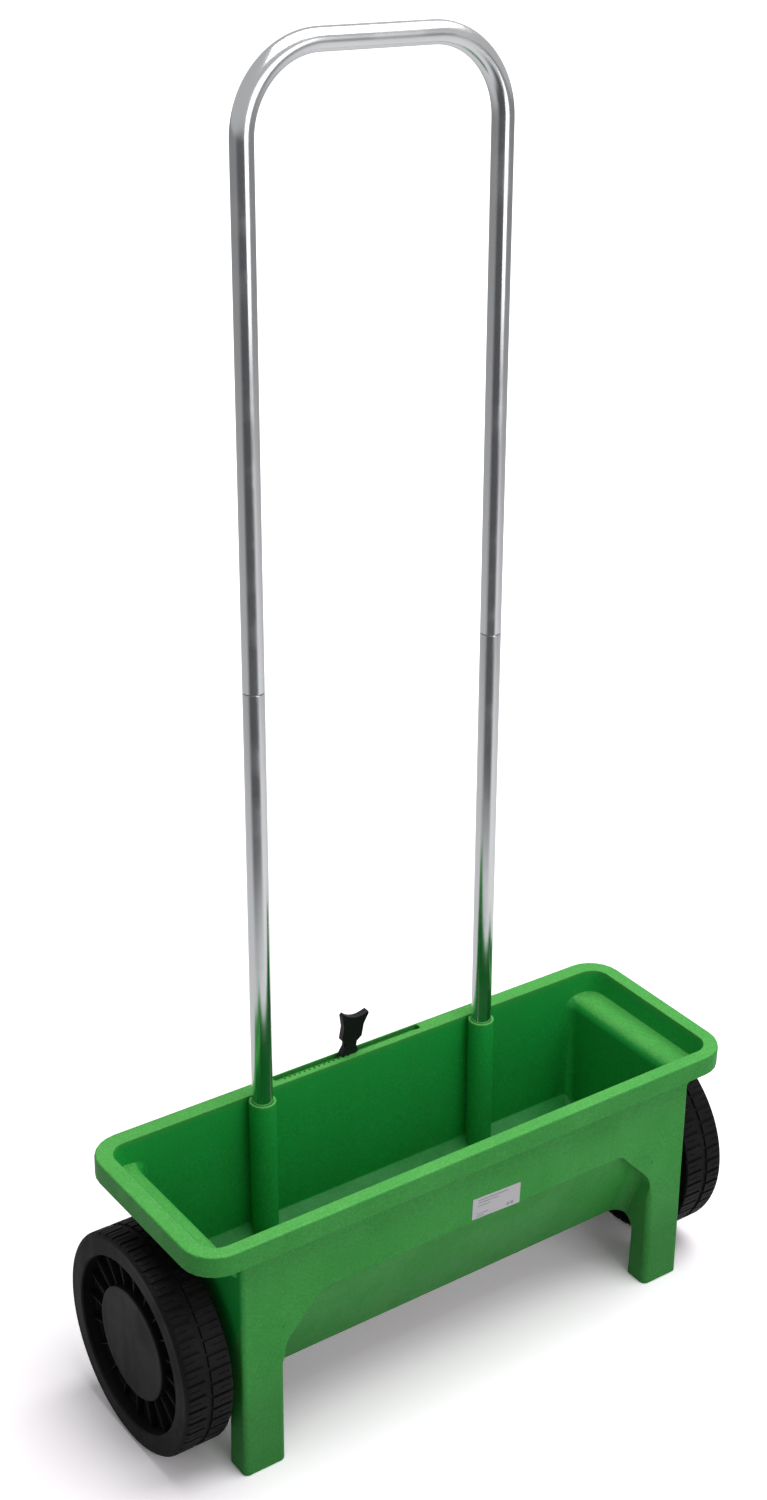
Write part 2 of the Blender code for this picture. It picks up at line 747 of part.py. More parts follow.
def panel_fillet(side, lines):
    """The hollow curve between the recessed panel and the inner side of a leg."""
    outer = parallel(*lines["panel"], WALL)
    rings = []
    for height in (PANEL_FOOT_Z, STEP_Z - RECESS_CORNER_HEIGHT / 2):
        y = meet(outer, level(height)).x
        reach = PANEL_FILLET - SEAT
        points = [(LEG_INNER_X + WALL / 2, y + WALL / 2), (LEG_INNER_X - reach, y + WALL / 2)]
        for step in range(CORNER_STEPS + 1):
            angle = math.pi / 2 * step / CORNER_STEPS
            x = LEG_INNER_X - reach + PANEL_FILLET * math.sin(angle)
            points.append((x, y - reach + PANEL_FILLET * math.cos(angle)))
        points.append((LEG_INNER_X + WALL / 2, y - reach))
        rings.append([Vector((side * x, y, height)) for x, y in points])
    return loft("panel_fillet", rings)


def socket_column(x, lines):
    """The round column on the rear wall that takes a lower tube."""
    column = handle_rod("socket", x, SOCKET_RADIUS, FLOOR_FOOT - RIM_TOP, -GAP)
    reach = SOCKET_RADIUS * 2
    section = prism("section", trough_outline(lines), "X", x - reach, x + reach)
    return trim(column, section)


def slot_cutter():
    """The lever's slot in the rear rim."""
    middle = ((SLOT_LOW_X + SLOT_HIGH_X) / 2, SLOT_NEAR_Y + SLOT_WIDTH / 2)
    half = (SLOT_HIGH_X - SLOT_LOW_X) / 2
    plan = rounded_rectangle(half, SLOT_WIDTH / 2, SLOT_END_RADIUS, middle)
    return prism("lever_slot", plan, "Z", RIM_TOP - 2 * RIM_PLATE, RIM_TOP + OVERCUT)


def teeth_cutter():
    """Notches in the slot's near edge."""
    notches = []
    for index in range(TOOTH_COUNT):
        x = SLOT_LOW_X + TOOTH_MARGIN + index * TOOTH_PITCH
        outline = [
            (x - TOOTH_HALF_WIDTH, SLOT_NEAR_Y + TOOTH_DEPTH / 2),
            (x, SLOT_NEAR_Y - TOOTH_DEPTH),
            (x + TOOTH_HALF_WIDTH, SLOT_NEAR_Y + TOOTH_DEPTH / 2),
        ]
        notches.append(prism("notch", outline, "Z", RIM_TOP - RIM_PLATE / 2, RIM_TOP + OVERCUT))
    return group("teeth", notches)


def keeper_seat():
    """Two posts on the rear wall with a rib between them, for the bar that keeps the lever in."""
    root = REAR_FOOT_Y + WALL / 2
    rib_end = LEVER_FRONT_Y - RUNNING_GAP
    half = KEEPER_RIB_HEIGHT / 2
    rib = box(
        "keeper_rib", (KEEPER_X[0], root, KEEPER_Z - half), (KEEPER_X[1], rib_end, KEEPER_Z + half)
    )
    for x in KEEPER_X:
        join(rib, rod("post", KEEPER_BOSS_RADIUS, (x, KEEPER_Z), "Y", root, KEEPER_BOSS_Y))
    return rib


def outlet_centres():
    first = -(OUTLET_COUNT - 1) * OUTLET_PITCH / 2
    return [first + index * OUTLET_PITCH for index in range(OUTLET_COUNT)]


def outlets(name, shift, low, high):
    """One rounded hole for each outlet, moved along Y by the shift."""
    holes = []
    for x in outlet_centres():
        plan = rounded_rectangle(
            OUTLET_LENGTH / 2,
            OUTLET_WIDTH / 2,
            OUTLET_CORNER,
            (x, AXLE_Y + shift),
            OUTLET_CORNER_STEPS,
        )
        holes.append(prism("outlet", plan, "Z", low, high))
    return group(name, holes)


def screw_places():
    """Where the rails' screws stand: name, x and y."""
    places = [(f"front_{i + 1}", x, FRONT_SCREW_Y) for i, x in enumerate(FRONT_SCREWS_X)]
    places += [(f"rear_{i + 1}", x, REAR_SCREW_Y) for i, x in enumerate(REAR_SCREWS_X)]
    return places


def make_hopper(made):
    lines = inner_lines()
    hopper = prism("hopper", trough_outline(lines), "X", -HALF_BODY, HALF_BODY)
    trim(hopper, body_envelope())
    for _, side in SIDES:
        join(hopper, leg_block(side, lines), panel_fillet(side, lines))
    join(hopper, shelf_solid(), rim_solid())
    cut(hopper, cavity(lines))
    for _, side in SIDES:
        cut(hopper, leg_pocket(side))
    void = ramp_underside(lines)
    ramp_void = [
        tuple(meet(void, level(FLOOR_FOOT))),
        tuple(meet(void, lines["panel"])),
        tuple(meet(lines["panel"], level(PANEL_FOOT_Z - OVERCUT))),
        (meet(void, level(FLOOR_FOOT)).x, PANEL_FOOT_Z - OVERCUT),
    ]
    cut(hopper, prism("ramp_void", ramp_void, "X", WALL - HALF_BODY, HALF_BODY - WALL))
    join(hopper, keeper_seat())
    for _, side in SIDES:
        join(hopper, socket_column(side * TUBE_SPACING / 2, lines))
    screw_bosses = []
    screw_holes = []
    for _, x, y in screw_places():
        top = FLOOR_FOOT + SCREW_BOSS_HEIGHT
        screw_bosses.append(rod("boss", SCREW_BOSS_RADIUS, (x, y), "Z", FLOOR_FOOT, top))
        hole = SCREW_RADIUS + SCREW_GAP
        top = FLOOR_FOOT + SCREW_DEPTH + SCREW_GAP
        screw_holes.append(rod("hole", hole, (x, y), "Z", FLOOR_FOOT - OVERCUT, top, HOLE_SIDES))
    join(hopper, group("screw_bosses", screw_bosses))
    cut(hopper, group("screw_holes", screw_holes))
    cut(hopper, slot_cutter(), teeth_cutter())
    cut(hopper, outlets("outlets", 0.0, FLOOR_FOOT - OVERCUT, FLOOR_TOP + OVERCUT))
    bush = AXLE_BORE + BUSH_WALL + GAP
    reach = HALF_BODY + OVERCUT
    cut(hopper, rod("axle_hole", bush, (AXLE_Y, AXLE_Z), "X", -reach, reach))
    for x in KEEPER_X:
        start = KEEPER_BOSS_Y - KEEPER_SCREW_DEPTH - SCREW_GAP
        hole = SCREW_RADIUS + SCREW_GAP
        end = KEEPER_BOSS_Y + OVERCUT
        cut(hopper, rod("hole", hole, (x, KEEPER_Z), "Y", start, end, HOLE_SIDES))
    for _, side in SIDES:
        x = side * TUBE_SPACING / 2
        cut(hopper, handle_rod("bore", x, TUBE_RADIUS + GAP, -SOCKET_DEPTH - GAP, OVERCUT))
        hole = SOCKET_SCREW_RADIUS + SCREW_GAP
        cut(hopper, cross_rod("hole", x, -SOCKET_SCREW_DROP, hole, 0.0, 2 * SOCKET_RADIUS))
    return finish(hopper, made)


def cross_rod(name, x, height, radius, front, back, sides=PIN_SIDES):
    """A round bar square to the handle's plane, from front to back of the tube's axis."""
    rings = []
    for reach in (front, back):
        ring = []
        for a, b in circle(radius, sides=sides):
            ring.append(on_handle(x + a, height + b, reach))
        rings.append(ring)
    return loft(name, rings)


def handle_rings(path):
    """Rings of a bar round a path of (point, sideways, radius)."""
    rings = []
    for point, sideways, radius in path:
        ring = [point + sideways * a + HANDLE_BACK * b for a, b in circle(radius, sides=TUBE_SIDES)]
        rings.append(ring)
    return rings


def bow_path(radius, low, extra):
    """The centre line of the bow from its left end to its right end, with the bar's radius."""
    half = TUBE_SPACING / 2
    bend_start = HANDLE_HEIGHT - BEND_RADIUS
    right = Vector((1.0, 0.0, 0.0))
    path = [(on_handle(-half, height), right, size) for height, size in low]
    for step in range(BEND_STEPS + 1):
        angle = math.pi / 2 * step / BEND_STEPS
        x = -half + BEND_RADIUS * (1 - math.cos(angle))
        height = bend_start + BEND_RADIUS * math.sin(angle)
        sideways = right * math.cos(angle) - HANDLE_AXIS * math.sin(angle)
        path.append((on_handle(x, height), sideways, radius))
    mirrored = []
    for point, sideways, size in reversed(path):
        turned_back = Vector((-sideways.x, sideways.y, sideways.z))
        mirrored.append((Vector((-point.x, point.y, point.z)), turned_back, size))
    if extra:
        first, last = path[0], mirrored[-1]
        path.insert(0, (first[0] - HANDLE_AXIS * extra, first[1], first[2]))
        mirrored.append((last[0] - HANDLE_AXIS * extra, last[1], last[2]))
    return path + mirrored


def make_handle(frame, bright, steel):
    spigot_end = JOINT_HEIGHT - SPIGOT_LENGTH
    seat = JOINT_HEIGHT + GAP
    outer_low = [(spigot_end, SPIGOT_RADIUS), (seat, SPIGOT_RADIUS), (seat + SPIGOT_TAPER, TUBE_RADIUS)]
    inner = SPIGOT_RADIUS - TUBE_WALL
    inner_low = [(spigot_end, inner), (seat, inner), (seat + SPIGOT_TAPER, TUBE_INNER)]
    bow = loft("handle_bow", handle_rings(bow_path(TUBE_RADIUS, outer_low, 0.0)))
    bore = loft("bow_bore", handle_rings(bow_path(TUBE_INNER, inner_low, OVERCUT)))
    cut(bow, bore)
    for side_name, side in SIDES:
        x = side * TUBE_SPACING / 2
        rivet_height = JOINT_HEIGHT - RIVET_DROP
        rivet_hole = RIVET_RADIUS + SCREW_GAP
        screw_hole = SOCKET_SCREW_RADIUS + SCREW_GAP
        cut(bow, cross_rod("hole", x, rivet_height, rivet_hole, 0.0, 2 * TUBE_RADIUS))
        tube = handle_rod(f"handle_tube_{side_name}", x, TUBE_RADIUS, -SOCKET_DEPTH, JOINT_HEIGHT)
        cut(
            tube,
            handle_rod("tube_bore", x, TUBE_INNER, -SOCKET_DEPTH - OVERCUT, JOINT_HEIGHT + OVERCUT),
            cross_rod("hole", x, rivet_height, rivet_hole, 0.0, 2 * TUBE_RADIUS),
            cross_rod("hole", x, -SOCKET_SCREW_DROP, screw_hole, 0.0, 2 * TUBE_RADIUS),
        )
        finish(tube, bright, frame)
        rivet = cross_rod(
            f"joint_rivet_{side_name}", x, rivet_height, RIVET_RADIUS, TUBE_RADIUS / 2, TUBE_RADIUS + GAP
        )
        head_end = TUBE_RADIUS + GAP + RIVET_HEAD
        join(rivet, cross_rod("head", x, rivet_height, RIVET_HEAD_RADIUS, TUBE_RADIUS + GAP / 2, head_end))
        finish(rivet, steel, frame)
        wall_back = REAR_RIM_Y - TUBE_Y + SOCKET_SCREW_DROP * math.sin(HANDLE_LEAN) + GAP
        screw = cross_rod(
            f"socket_screw_{side_name}",
            x,
            -SOCKET_SCREW_DROP,
            SOCKET_SCREW_RADIUS,
            SOCKET_SCREW_TIP,
            wall_back,
        )
        head_end = wall_back + SOCKET_SCREW_HEAD
        join(
            screw,
            cross_rod("head", x, -SOCKET_SCREW_DROP, SOCKET_SCREW_HEAD_RADIUS, wall_back, head_end),
        )
        finish(screw, steel, frame)
    return finish(bow, bright, frame)


def wheel_profile():
    """The wheel's section as (distance from its inner face, radius) points."""
    web_back = WHEEL_WIDTH - RECESS_DEPTH - WEB
    web_front = WHEEL_WIDTH - RECESS_DEPTH
    ring_inner = RECESS_RADIUS + TREAD_WALL
    tread_inner = WHEEL_RADIUS - TREAD_WALL
    groove = WHEEL_WIDTH / 2
    half_groove = TREAD_GROOVE_WIDTH / 2
    drum_top = WHEEL_WIDTH - CAP_INSET - CAP_THICKNESS - GAP
    return [
        (-HUB_BOSS, AXLE_BORE),
        (-HUB_BOSS, HUB_RADIUS),
        (web_back, HUB_RADIUS),
        (web_back, ring_inner),
        (WHEEL_WIDTH - WEB, ring_inner),
        (WHEEL_WIDTH - WEB, tread_inner),
        (0.0, tread_inner),
        (0.0, WHEEL_RADIUS - TREAD_EDGE / 2),
        (TREAD_EDGE / 2, WHEEL_RADIUS),
        (groove - half_groove, WHEEL_RADIUS),
        (groove - half_groove, WHEEL_RADIUS - TREAD_GROOVE_DEPTH),
        (groove + half_groove, WHEEL_RADIUS - TREAD_GROOVE_DEPTH),
        (groove + half_groove, WHEEL_RADIUS),
        (WHEEL_WIDTH - TREAD_EDGE, WHEEL_RADIUS),
        (WHEEL_WIDTH, WHEEL_RADIUS - TREAD_EDGE),
        (WHEEL_WIDTH, RECESS_RADIUS),
        (web_front, RECESS_RADIUS),
        (web_front, DRUM_RADIUS),
        (drum_top, DRUM_RADIUS),
        (drum_top, DRUM_RADIUS - WEB),
        (web_front, DRUM_RADIUS - WEB),
        (web_front, HUB_RADIUS),
        (HUB_LENGTH, HUB_RADIUS),
        (HUB_LENGTH, AXLE_BORE),
    ]


def make_wheel():
    """One wheel about the X axis at the origin, with its inner face at x = 0 and its face to +X."""
    wheel = turned("wheel", wheel_profile(), WHEEL_SIDES)
    web_front = WHEEL_WIDTH - RECESS_DEPTH
    ribs = []
    half = RIB_THICKNESS / 2
    for index in range(RIB_COUNT):
        rib = box(
            "rib",
            (web_front - WEB / 2, -half, DRUM_RADIUS - WEB / 2),
            (web_front + RIB_HEIGHT, half, RECESS_RADIUS + TREAD_WALL / 2),
        )
        rib.data.transform(Matrix.Rotation(2 * math.pi * index / RIB_COUNT, 4, "X"))
        ribs.append(rib)
    join(wheel, group("ribs", ribs))
    cuts = []
    half = TREAD_CUT_WIDTH / 2
    rows = (
        (-OVERCUT, WHEEL_WIDTH / 2 - TREAD_GROOVE_WIDTH, 0.0),
        (WHEEL_WIDTH / 2 + TREAD_GROOVE_WIDTH, WHEEL_WIDTH + OVERCUT, TREAD_STAGGER),
    )
    for index in range(TREAD_CUTS):
        for low, high, offset in rows:
            notch = box(
                "tread_cut",
                (low, -half, WHEEL_RADIUS - TREAD_GROOVE_DEPTH),
                (high, half, WHEEL_RADIUS + OVERCUT),
            )
            turn = 2 * math.pi * (index + offset + TREAD_PHASE) / TREAD_CUTS
            notch.data.transform(Matrix.Rotation(turn, 4, "X"))
            cuts.append(notch)
    cut(wheel, group("tread_cuts", cuts))
    half = PIN_RADIUS + GAP
    reach = HUB_RADIUS + OVERCUT
    start = -HUB_BOSS - OVERCUT
    slot = box("drive_slot", (start, -half, -reach), (DRIVE_SLOT_DEPTH, half, reach))
    return cut(wheel, slot)


def cap_profile():
    plug = DRUM_RADIUS - WEB - GAP
    inner = plug - WEB
    foot = -CAP_THICKNESS
    return [
        (foot, 0.0),
        (foot, inner),
        (2 * foot, inner),
        (2 * foot, plug),
        (foot, plug),
        (foot, CAP_RADIUS),
        (-CAP_EDGE, CAP_RADIUS),
        (0.0, CAP_RADIUS - CAP_EDGE),
        (0.0, 0.0),
    ]


def ring_profile(low, high, inner, outer):
    return [(low, inner), (low, outer), (high, outer), (high, inner)]


def copy_of(source, name):
    made = bpy.data.objects.new(name, source.data)
    bpy.context.scene.collection.objects.link(made)
    return made


def place_on_axle(obj, made, parent, x, side):
    """Puts a piece turned about X on the axle, facing away from the hopper."""
    obj.data.materials.clear()
    obj.data.materials.append(made)
    obj.data.shade_smooth()
    obj.data.set_sharp_from_angle(angle=SMOOTH_ANGLE)
    obj.location = Vector((side * x, 0.0, 0.0))
    obj.rotation_euler = (0.0, 0.0, 0.0 if side > 0 else math.pi)
    obj.parent = parent
    return obj


def make_running_gear(frame, black, steel, pale):
    axle_centre = empty("axle_axis", (-AXLE_DRIFT, AXLE_Y, AXLE_Z))
    right_wheel_centre = empty("right_wheel_axis", (-AXLE_DRIFT, AXLE_Y, AXLE_Z))
    cap_seat = WHEEL_WIDTH - CAP_INSET
    axle_end = WHEEL_INNER_X + HUB_LENGTH + CLIP_THICKNESS + 2 * GAP
    drive_x = WHEEL_INNER_X + DRIVE_SLOT_DEPTH / 2
    agitator_x = AGITATOR_LENGTH / 2 + GAP
    axle = rod("axle", AXLE_RADIUS, (0.0, 0.0), "X", -axle_end, axle_end)
    for x in (-drive_x, -agitator_x, agitator_x):
        reach = 2 * AXLE_RADIUS
        cut(axle, rod("pin_hole", PIN_RADIUS + GAP, (x, 0.0), "Z", -reach, reach, PIN_SIDES))
    place_on_axle(axle, steel, axle_centre, 0.0, 1.0)
    half = DRIVE_PIN_LENGTH / 2
    pin = rod("drive_pin", PIN_RADIUS, (0.0, 0.0), "Z", -half, half, PIN_SIDES)
    place_on_axle(pin, steel, axle_centre, drive_x, -1.0)
    wheel = make_wheel()
    cap = turned("cap", cap_profile(), WHEEL_SIDES)
    bush = turned("bush", ring_profile(-WALL, 0.0, AXLE_BORE, AXLE_BORE + BUSH_WALL), ROUND_SIDES)
    flange = ring_profile(0.0, BUSH_FLANGE, AXLE_BORE, BUSH_FLANGE_RADIUS)
    join(bush, turned("flange", flange, ROUND_SIDES))
    washer = turned("washer", ring_profile(0.0, WASHER_THICKNESS, AXLE_BORE, WASHER_RADIUS), ROUND_SIDES)
    clip = turned("clip", ring_profile(0.0, CLIP_THICKNESS, AXLE_BORE, CLIP_RADIUS), ROUND_SIDES)
    for side_name, side in SIDES:
        spinning = axle_centre if side_name == "left" else right_wheel_centre
        place_on_axle(copy_of(wheel, f"wheel_{side_name}"), black, spinning, WHEEL_INNER_X, side)
        place_on_axle(copy_of(cap, f"hub_cap_{side_name}"), black, spinning, WHEEL_INNER_X + cap_seat, side)
        seat = HALF_BODY + GAP
        held = place_on_axle(copy_of(bush, f"axle_bush_{side_name}"), pale, frame, seat, side)
        held.location = Vector((side * seat, AXLE_Y, AXLE_Z))
        washer_x = WHEEL_INNER_X - HUB_BOSS - GAP - WASHER_THICKNESS
        place_on_axle(copy_of(washer, f"wheel_washer_{side_name}"), steel, axle_centre, washer_x, side)
        clip_x = WHEEL_INNER_X + HUB_LENGTH + GAP
        place_on_axle(copy_of(clip, f"axle_clip_{side_name}"), steel, axle_centre, clip_x, side)
        agitator = make_agitator(f"agitator_{side_name}", side)
        place_on_axle(agitator, pale, axle_centre, agitator_x, side)
        pin = rod(
            f"agitator_pin_{side_name}",
            PIN_RADIUS,
            (0.0, 0.0),
            "Z",
            -AGITATOR_RADIUS,
            AGITATOR_RADIUS,
            PIN_SIDES,
        )
        place_on_axle(pin, steel, axle_centre, agitator_x, side)
    for source in (wheel, cap, bush, washer, clip):
        bpy.data.objects.remove(source, do_unlink=True)


def make_agitator(name, side):
    """A sleeve about X with a pair of fingers over each outlet on its side of the middle."""
    half = AGITATOR_LENGTH / 2
    sleeve = rod(name, AGITATOR_RADIUS, (0.0, 0.0), "X", -half, half)
    fingers = []
    centres = [x for x in outlet_centres() if x > OUTLET_LENGTH / 2]
    if side > 0:
        centres.append(FINGER_THICKNESS + GAP)
    for index, x in enumerate(centres):
        low = x - half - GAP - FINGER_THICKNESS / 2
        finger = box(
            "finger",
            (low, -FINGER_WIDTH / 2, -FINGER_REACH),
            (low + FINGER_THICKNESS, FINGER_WIDTH / 2, FINGER_REACH),
        )
        turn = FINGER_TWIST * index + FINGER_TWIST / 2
        finger.data.transform(Matrix.Rotation(turn, 4, "X"))
        fingers.append(finger)
    join(sleeve, group("fingers", fingers))
    cut(sleeve, rod("sleeve_bore", AXLE_BORE, (0.0, 0.0), "X", -half - OVERCUT, half + OVERCUT))
    reach = FINGER_REACH
    return cut(sleeve, rod("pin_hole", PIN_RADIUS + GAP, (0.0, 0.0), "Z", -reach, reach, PIN_SIDES))


def make_shutter(frame, made):
    """The perforated shutter, standing shut, with the tab and pin that the lever moves."""
    shutter = box(
        "metering_slide",
        (-SHUTTER_HALF, SHUTTER_FRONT, SHUTTER_FOOT),
        (SHUTTER_HALF, SHUTTER_REAR, SHUTTER_TOP),
    )
    holes = outlets("holes", SHUTTER_STROKE, SHUTTER_FOOT - OVERCUT, SHUTTER_TOP + OVERCUT)
    cut(shutter, holes)
    half = TAB_WIDTH / 2
    tab = box(
        "tab",
        (CAM_PIN_X - half, SHUTTER_REAR - OVERCUT, SHUTTER_FOOT),
        (CAM_PIN_X + half, CAM_PIN_Y + TAB_END, SHUTTER_TOP),
    )
    foot = CAM_PLATE_FOOT - GAP
    top = SHUTTER_TOP - SHUTTER_THICKNESS / 2
    join(shutter, tab, rod("cam_pin", CAM_PIN_RADIUS, (CAM_PIN_X, CAM_PIN_Y), "Z", foot, top))
    return finish(shutter, made, frame, (CAM_PIN_X, CAM_PIN_Y, SHUTTER_TOP))


def rail_outline(inner, lip_end, outer):
    """A rail's section: a spacer beside the shutter and a lip under it."""
    top = FLOOR_FOOT - GAP
    return [
        (lip_end, RAIL_FOOT),
        (outer, RAIL_FOOT),
        (outer, top),
        (inner, top),
        (inner, LIP_TOP),
        (lip_end, LIP_TOP),
    ]


def make_rails(frame, made, steel):
    end = HALF_BODY - RAIL_END_INSET
    tab_reach = TAB_WIDTH / 2 + RUNNING_GAP
    front_lip = AXLE_Y - OUTLET_WIDTH / 2 - LIP_FRONT_SETBACK
    rear_lip = AXLE_Y + OUTLET_WIDTH / 2 + LIP_REAR_SETBACK
    front_outer = FRONT_SCREW_Y - SCREW_ROW_OFFSET
    front = rail_outline(FRONT_RAIL_Y, front_lip, front_outer)
    rear = rail_outline(REAR_RAIL_Y, rear_lip, REAR_RAIL_Y + RAIL_BASE)
    rails = (
        ("guide_strip_front", front, FRONT_SCREW_Y, -end, end),
        ("guide_strip_rear_left", rear, REAR_SCREW_Y, -end, CAM_PIN_X - tab_reach),
        ("guide_strip_rear_right", rear, REAR_SCREW_Y, CAM_PIN_X + tab_reach, end),
    )
    for name, outline, row, low, high in rails:
        rail = prism(name, outline, "X", low, high)
        holes = []
        for _, x, y in screw_places():
            if low < x < high and y == row:
                hole = SCREW_RADIUS + SCREW_GAP
                top = FLOOR_FOOT + OVERCUT
                holes.append(rod("hole", hole, (x, y), "Z", RAIL_FOOT - OVERCUT, top, HOLE_SIDES))
        cut(rail, group("holes", holes))
        finish(rail, made, frame)
    for place, x, y in screw_places():
        head_top = RAIL_FOOT - GAP
        top = FLOOR_FOOT + SCREW_DEPTH
        name = f"guide_screw_{place}"
        screw = rod(name, SCREW_RADIUS, (x, y), "Z", head_top - SCREW_HEAD / 2, top, HOLE_SIDES)
        head_foot = head_top - SCREW_HEAD
        join(screw, rod("head", SCREW_HEAD_RADIUS, (x, y), "Z", head_foot, head_top, PIN_SIDES))
        finish(screw, steel, frame)


def capsule(start, end, radius, steps=CORNER_STEPS):
    """The outline of a slot with round ends between two points."""
    along = Vector(end) - Vector(start)
    heading = math.atan2(along.y, along.x)
    points = []
    for centre, first in ((end, heading - math.pi / 2), (start, heading + math.pi / 2)):
        for step in range(steps + 1):
            angle = first + math.pi * step / steps
            points.append((centre[0] + radius * math.cos(angle), centre[1] + radius * math.sin(angle)))
    return points


def grip_outline():
    """The forked grip: a foot on the rim, a neck and a body that leans and widens to two horns."""
    foot = RIM_TOP + RUNNING_GAP
    side = [
        (GRIP_FOOT_WIDTH / 2, 0.0),
        (GRIP_FOOT_WIDTH / 2, GRIP_FOOT_HEIGHT),
        (GRIP_NECK_WIDTH / 2, GRIP_NECK_START),
        (GRIP_NECK_WIDTH / 2, GRIP_NECK_END),
        (GRIP_WAIST_WIDTH / 2, GRIP_WAIST_START),
        (GRIP_WAIST_WIDTH / 2, GRIP_WAIST_END),
        (GRIP_TOP_WIDTH / 2, GRIP_HEIGHT - GRIP_HORN),
    ]
    top = []
    horn = GRIP_TOP_WIDTH / 2 - GRIP_HORN_SLOPE
    for step in range(CORNER_STEPS + 1):
        share = 1 - 2 * step / CORNER_STEPS
        top.append((horn * share, GRIP_HEIGHT - GRIP_DIP * (1 - share * share)))
    outline = side + top + [(-x, height) for x, height in reversed(side)]
    leaning = []
    for x, height in outline:
        drop = x * math.sin(GRIP_LEAN) * height / GRIP_HEIGHT
        leaning.append((LEVER_X + x + height * math.sin(GRIP_LEAN), foot + height - drop))
    return leaning


def make_lever(frame, black, steel):
    middle = (LEVER_FRONT_Y + LEVER_REAR_Y) / 2
    half = LEVER_WIDTH / 2
    lever = box(
        "metering_lever",
        (LEVER_X - half, LEVER_FRONT_Y, CAM_PLATE_FOOT),
        (LEVER_X + half, LEVER_REAR_Y, RIM_TOP + GRIP_HEIGHT / 2),
    )
    slot_half = CAM_PIN_RADIUS + RUNNING_GAP
    reach = LEVER_STROKE / 2 + slot_half + CAM_PLATE_MARGIN
    front = CAM_PIN_Y - SHUTTER_STROKE - slot_half - CAM_PLATE_MARGIN
    plate = box(
        "cam_plate",
        (LEVER_X - reach, front, CAM_PLATE_FOOT),
        (LEVER_X + reach, LEVER_REAR_Y, CAM_PLATE_TOP),
    )
    start = (CAM_PIN_X, CAM_PIN_Y)
    end = (CAM_PIN_X + LEVER_STROKE, CAM_PIN_Y - SHUTTER_STROKE)
    slot = capsule(start, end, slot_half)
    cut(plate, prism("cam_slot", slot, "Z", CAM_PLATE_FOOT - OVERCUT, CAM_PLATE_TOP + OVERCUT))
    brace = [
        (LEVER_FRONT_Y - CAM_BRACE, CAM_PLATE_FOOT + CAM_PLATE_THICKNESS / 2),
        (LEVER_FRONT_Y - CAM_BRACE, CAM_PLATE_TOP),
        (LEVER_FRONT_Y, CAM_PLATE_TOP + CAM_BRACE_HEIGHT),
        (middle, CAM_PLATE_TOP + CAM_BRACE_HEIGHT),
        (middle, CAM_PLATE_FOOT + CAM_PLATE_THICKNESS / 2),
    ]
    rib_half = CAM_PLATE_THICKNESS / 2
    join(
        lever,
        plate,
        prism("brace", brace, "X", LEVER_X - rib_half, LEVER_X + rib_half),
        prism("grip", grip_outline(), "Y", middle - GRIP_DEPTH / 2, middle + GRIP_DEPTH / 2),
    )
    finish(lever, black, frame, (LEVER_X, middle, RIM_TOP))
    keeper_rear = KEEPER_FRONT_Y + KEEPER_THICKNESS
    keeper = box(
        "lever_keeper",
        (KEEPER_X[0] - KEEPER_END, KEEPER_FRONT_Y, KEEPER_Z - KEEPER_HEIGHT / 2),
        (KEEPER_X[1] + KEEPER_END, keeper_rear, KEEPER_Z + KEEPER_HEIGHT / 2),
    )
    for (side_name, _), x in zip(SIDES, KEEPER_X):
        place = (x, KEEPER_Z)
        hole = SCREW_RADIUS + SCREW_GAP
        low, high = KEEPER_FRONT_Y - OVERCUT, keeper_rear + OVERCUT
        cut(keeper, rod("hole", hole, place, "Y", low, high, HOLE_SIDES))
        head = keeper_rear + GAP
        name = f"keeper_screw_{side_name}"
        start = KEEPER_BOSS_Y - KEEPER_SCREW_DEPTH
        screw = rod(name, SCREW_RADIUS, place, "Y", start, head + SCREW_HEAD / 2, HOLE_SIDES)
        join(screw, rod("head", SCREW_HEAD_RADIUS, place, "Y", head, head + SCREW_HEAD, PIN_SIDES))
        finish(screw, steel, frame)
    finish(keeper, steel, frame)


def make_label(frame, made):
    """The blank sticker, lying on the leaning front band."""
    plan = rounded_rectangle(
        LABEL_LENGTH / 2, LABEL_HEIGHT / 2, LABEL_CORNER, steps=OUTLET_CORNER_STEPS
    )
    label = prism("rating_label", plan, "Y", -LABEL_THICKNESS - LABEL_GAP, -LABEL_GAP)
    lean = math.atan2(FRONT_RIM_Y - FOOT_Y, RIM_TOP)
    turn = Matrix.Rotation(-lean, 4, "X") @ Matrix.Rotation(LABEL_TILT, 4, "Y")
    label.data.transform(Matrix.Translation((LABEL_X, front_y(LABEL_Z), LABEL_Z)) @ turn)
    return finish(label, made, frame, smooth=False)


def main():
    for obj in list(bpy.data.objects):
        bpy.data.objects.remove(obj, do_unlink=True)
    green = material("green_plastic", (0.050, 0.245, 0.052), 0.48)
    black = material("black_plastic", (0.016, 0.016, 0.017), 0.52)
    bright = material("bright_tube", (0.80, 0.81, 0.83), 0.13, 1.0)
    steel = material("plain_steel", (0.52, 0.53, 0.55), 0.34, 1.0)
    pale = material("pale_plastic", (0.62, 0.62, 0.58), 0.45)
    paper = material("label_film", (0.74, 0.75, 0.76), 0.40)
    frame = empty("spreader", (0.0, 0.0, 0.0))
    hopper = make_hopper(green)
    hopper.parent = frame
    make_handle(frame, bright, steel)
    make_running_gear(frame, black, steel, pale)
    make_shutter(frame, pale)
    make_rails(frame, pale, steel)
    make_lever(frame, black, steel)
    make_label(frame, paper)


main()
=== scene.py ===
"""Looks of a drop spreader: a green trough on two black wheels, with a bright tube handle.

Metres, +Z up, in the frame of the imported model: the ground is z = 0, X runs along the axle and
-Y is the side with the legs and the label. Each sub-assembly is a class that builds its pieces.
"""

import logging
import math
from dataclasses import dataclass, field
from enum import Enum
from functools import reduce

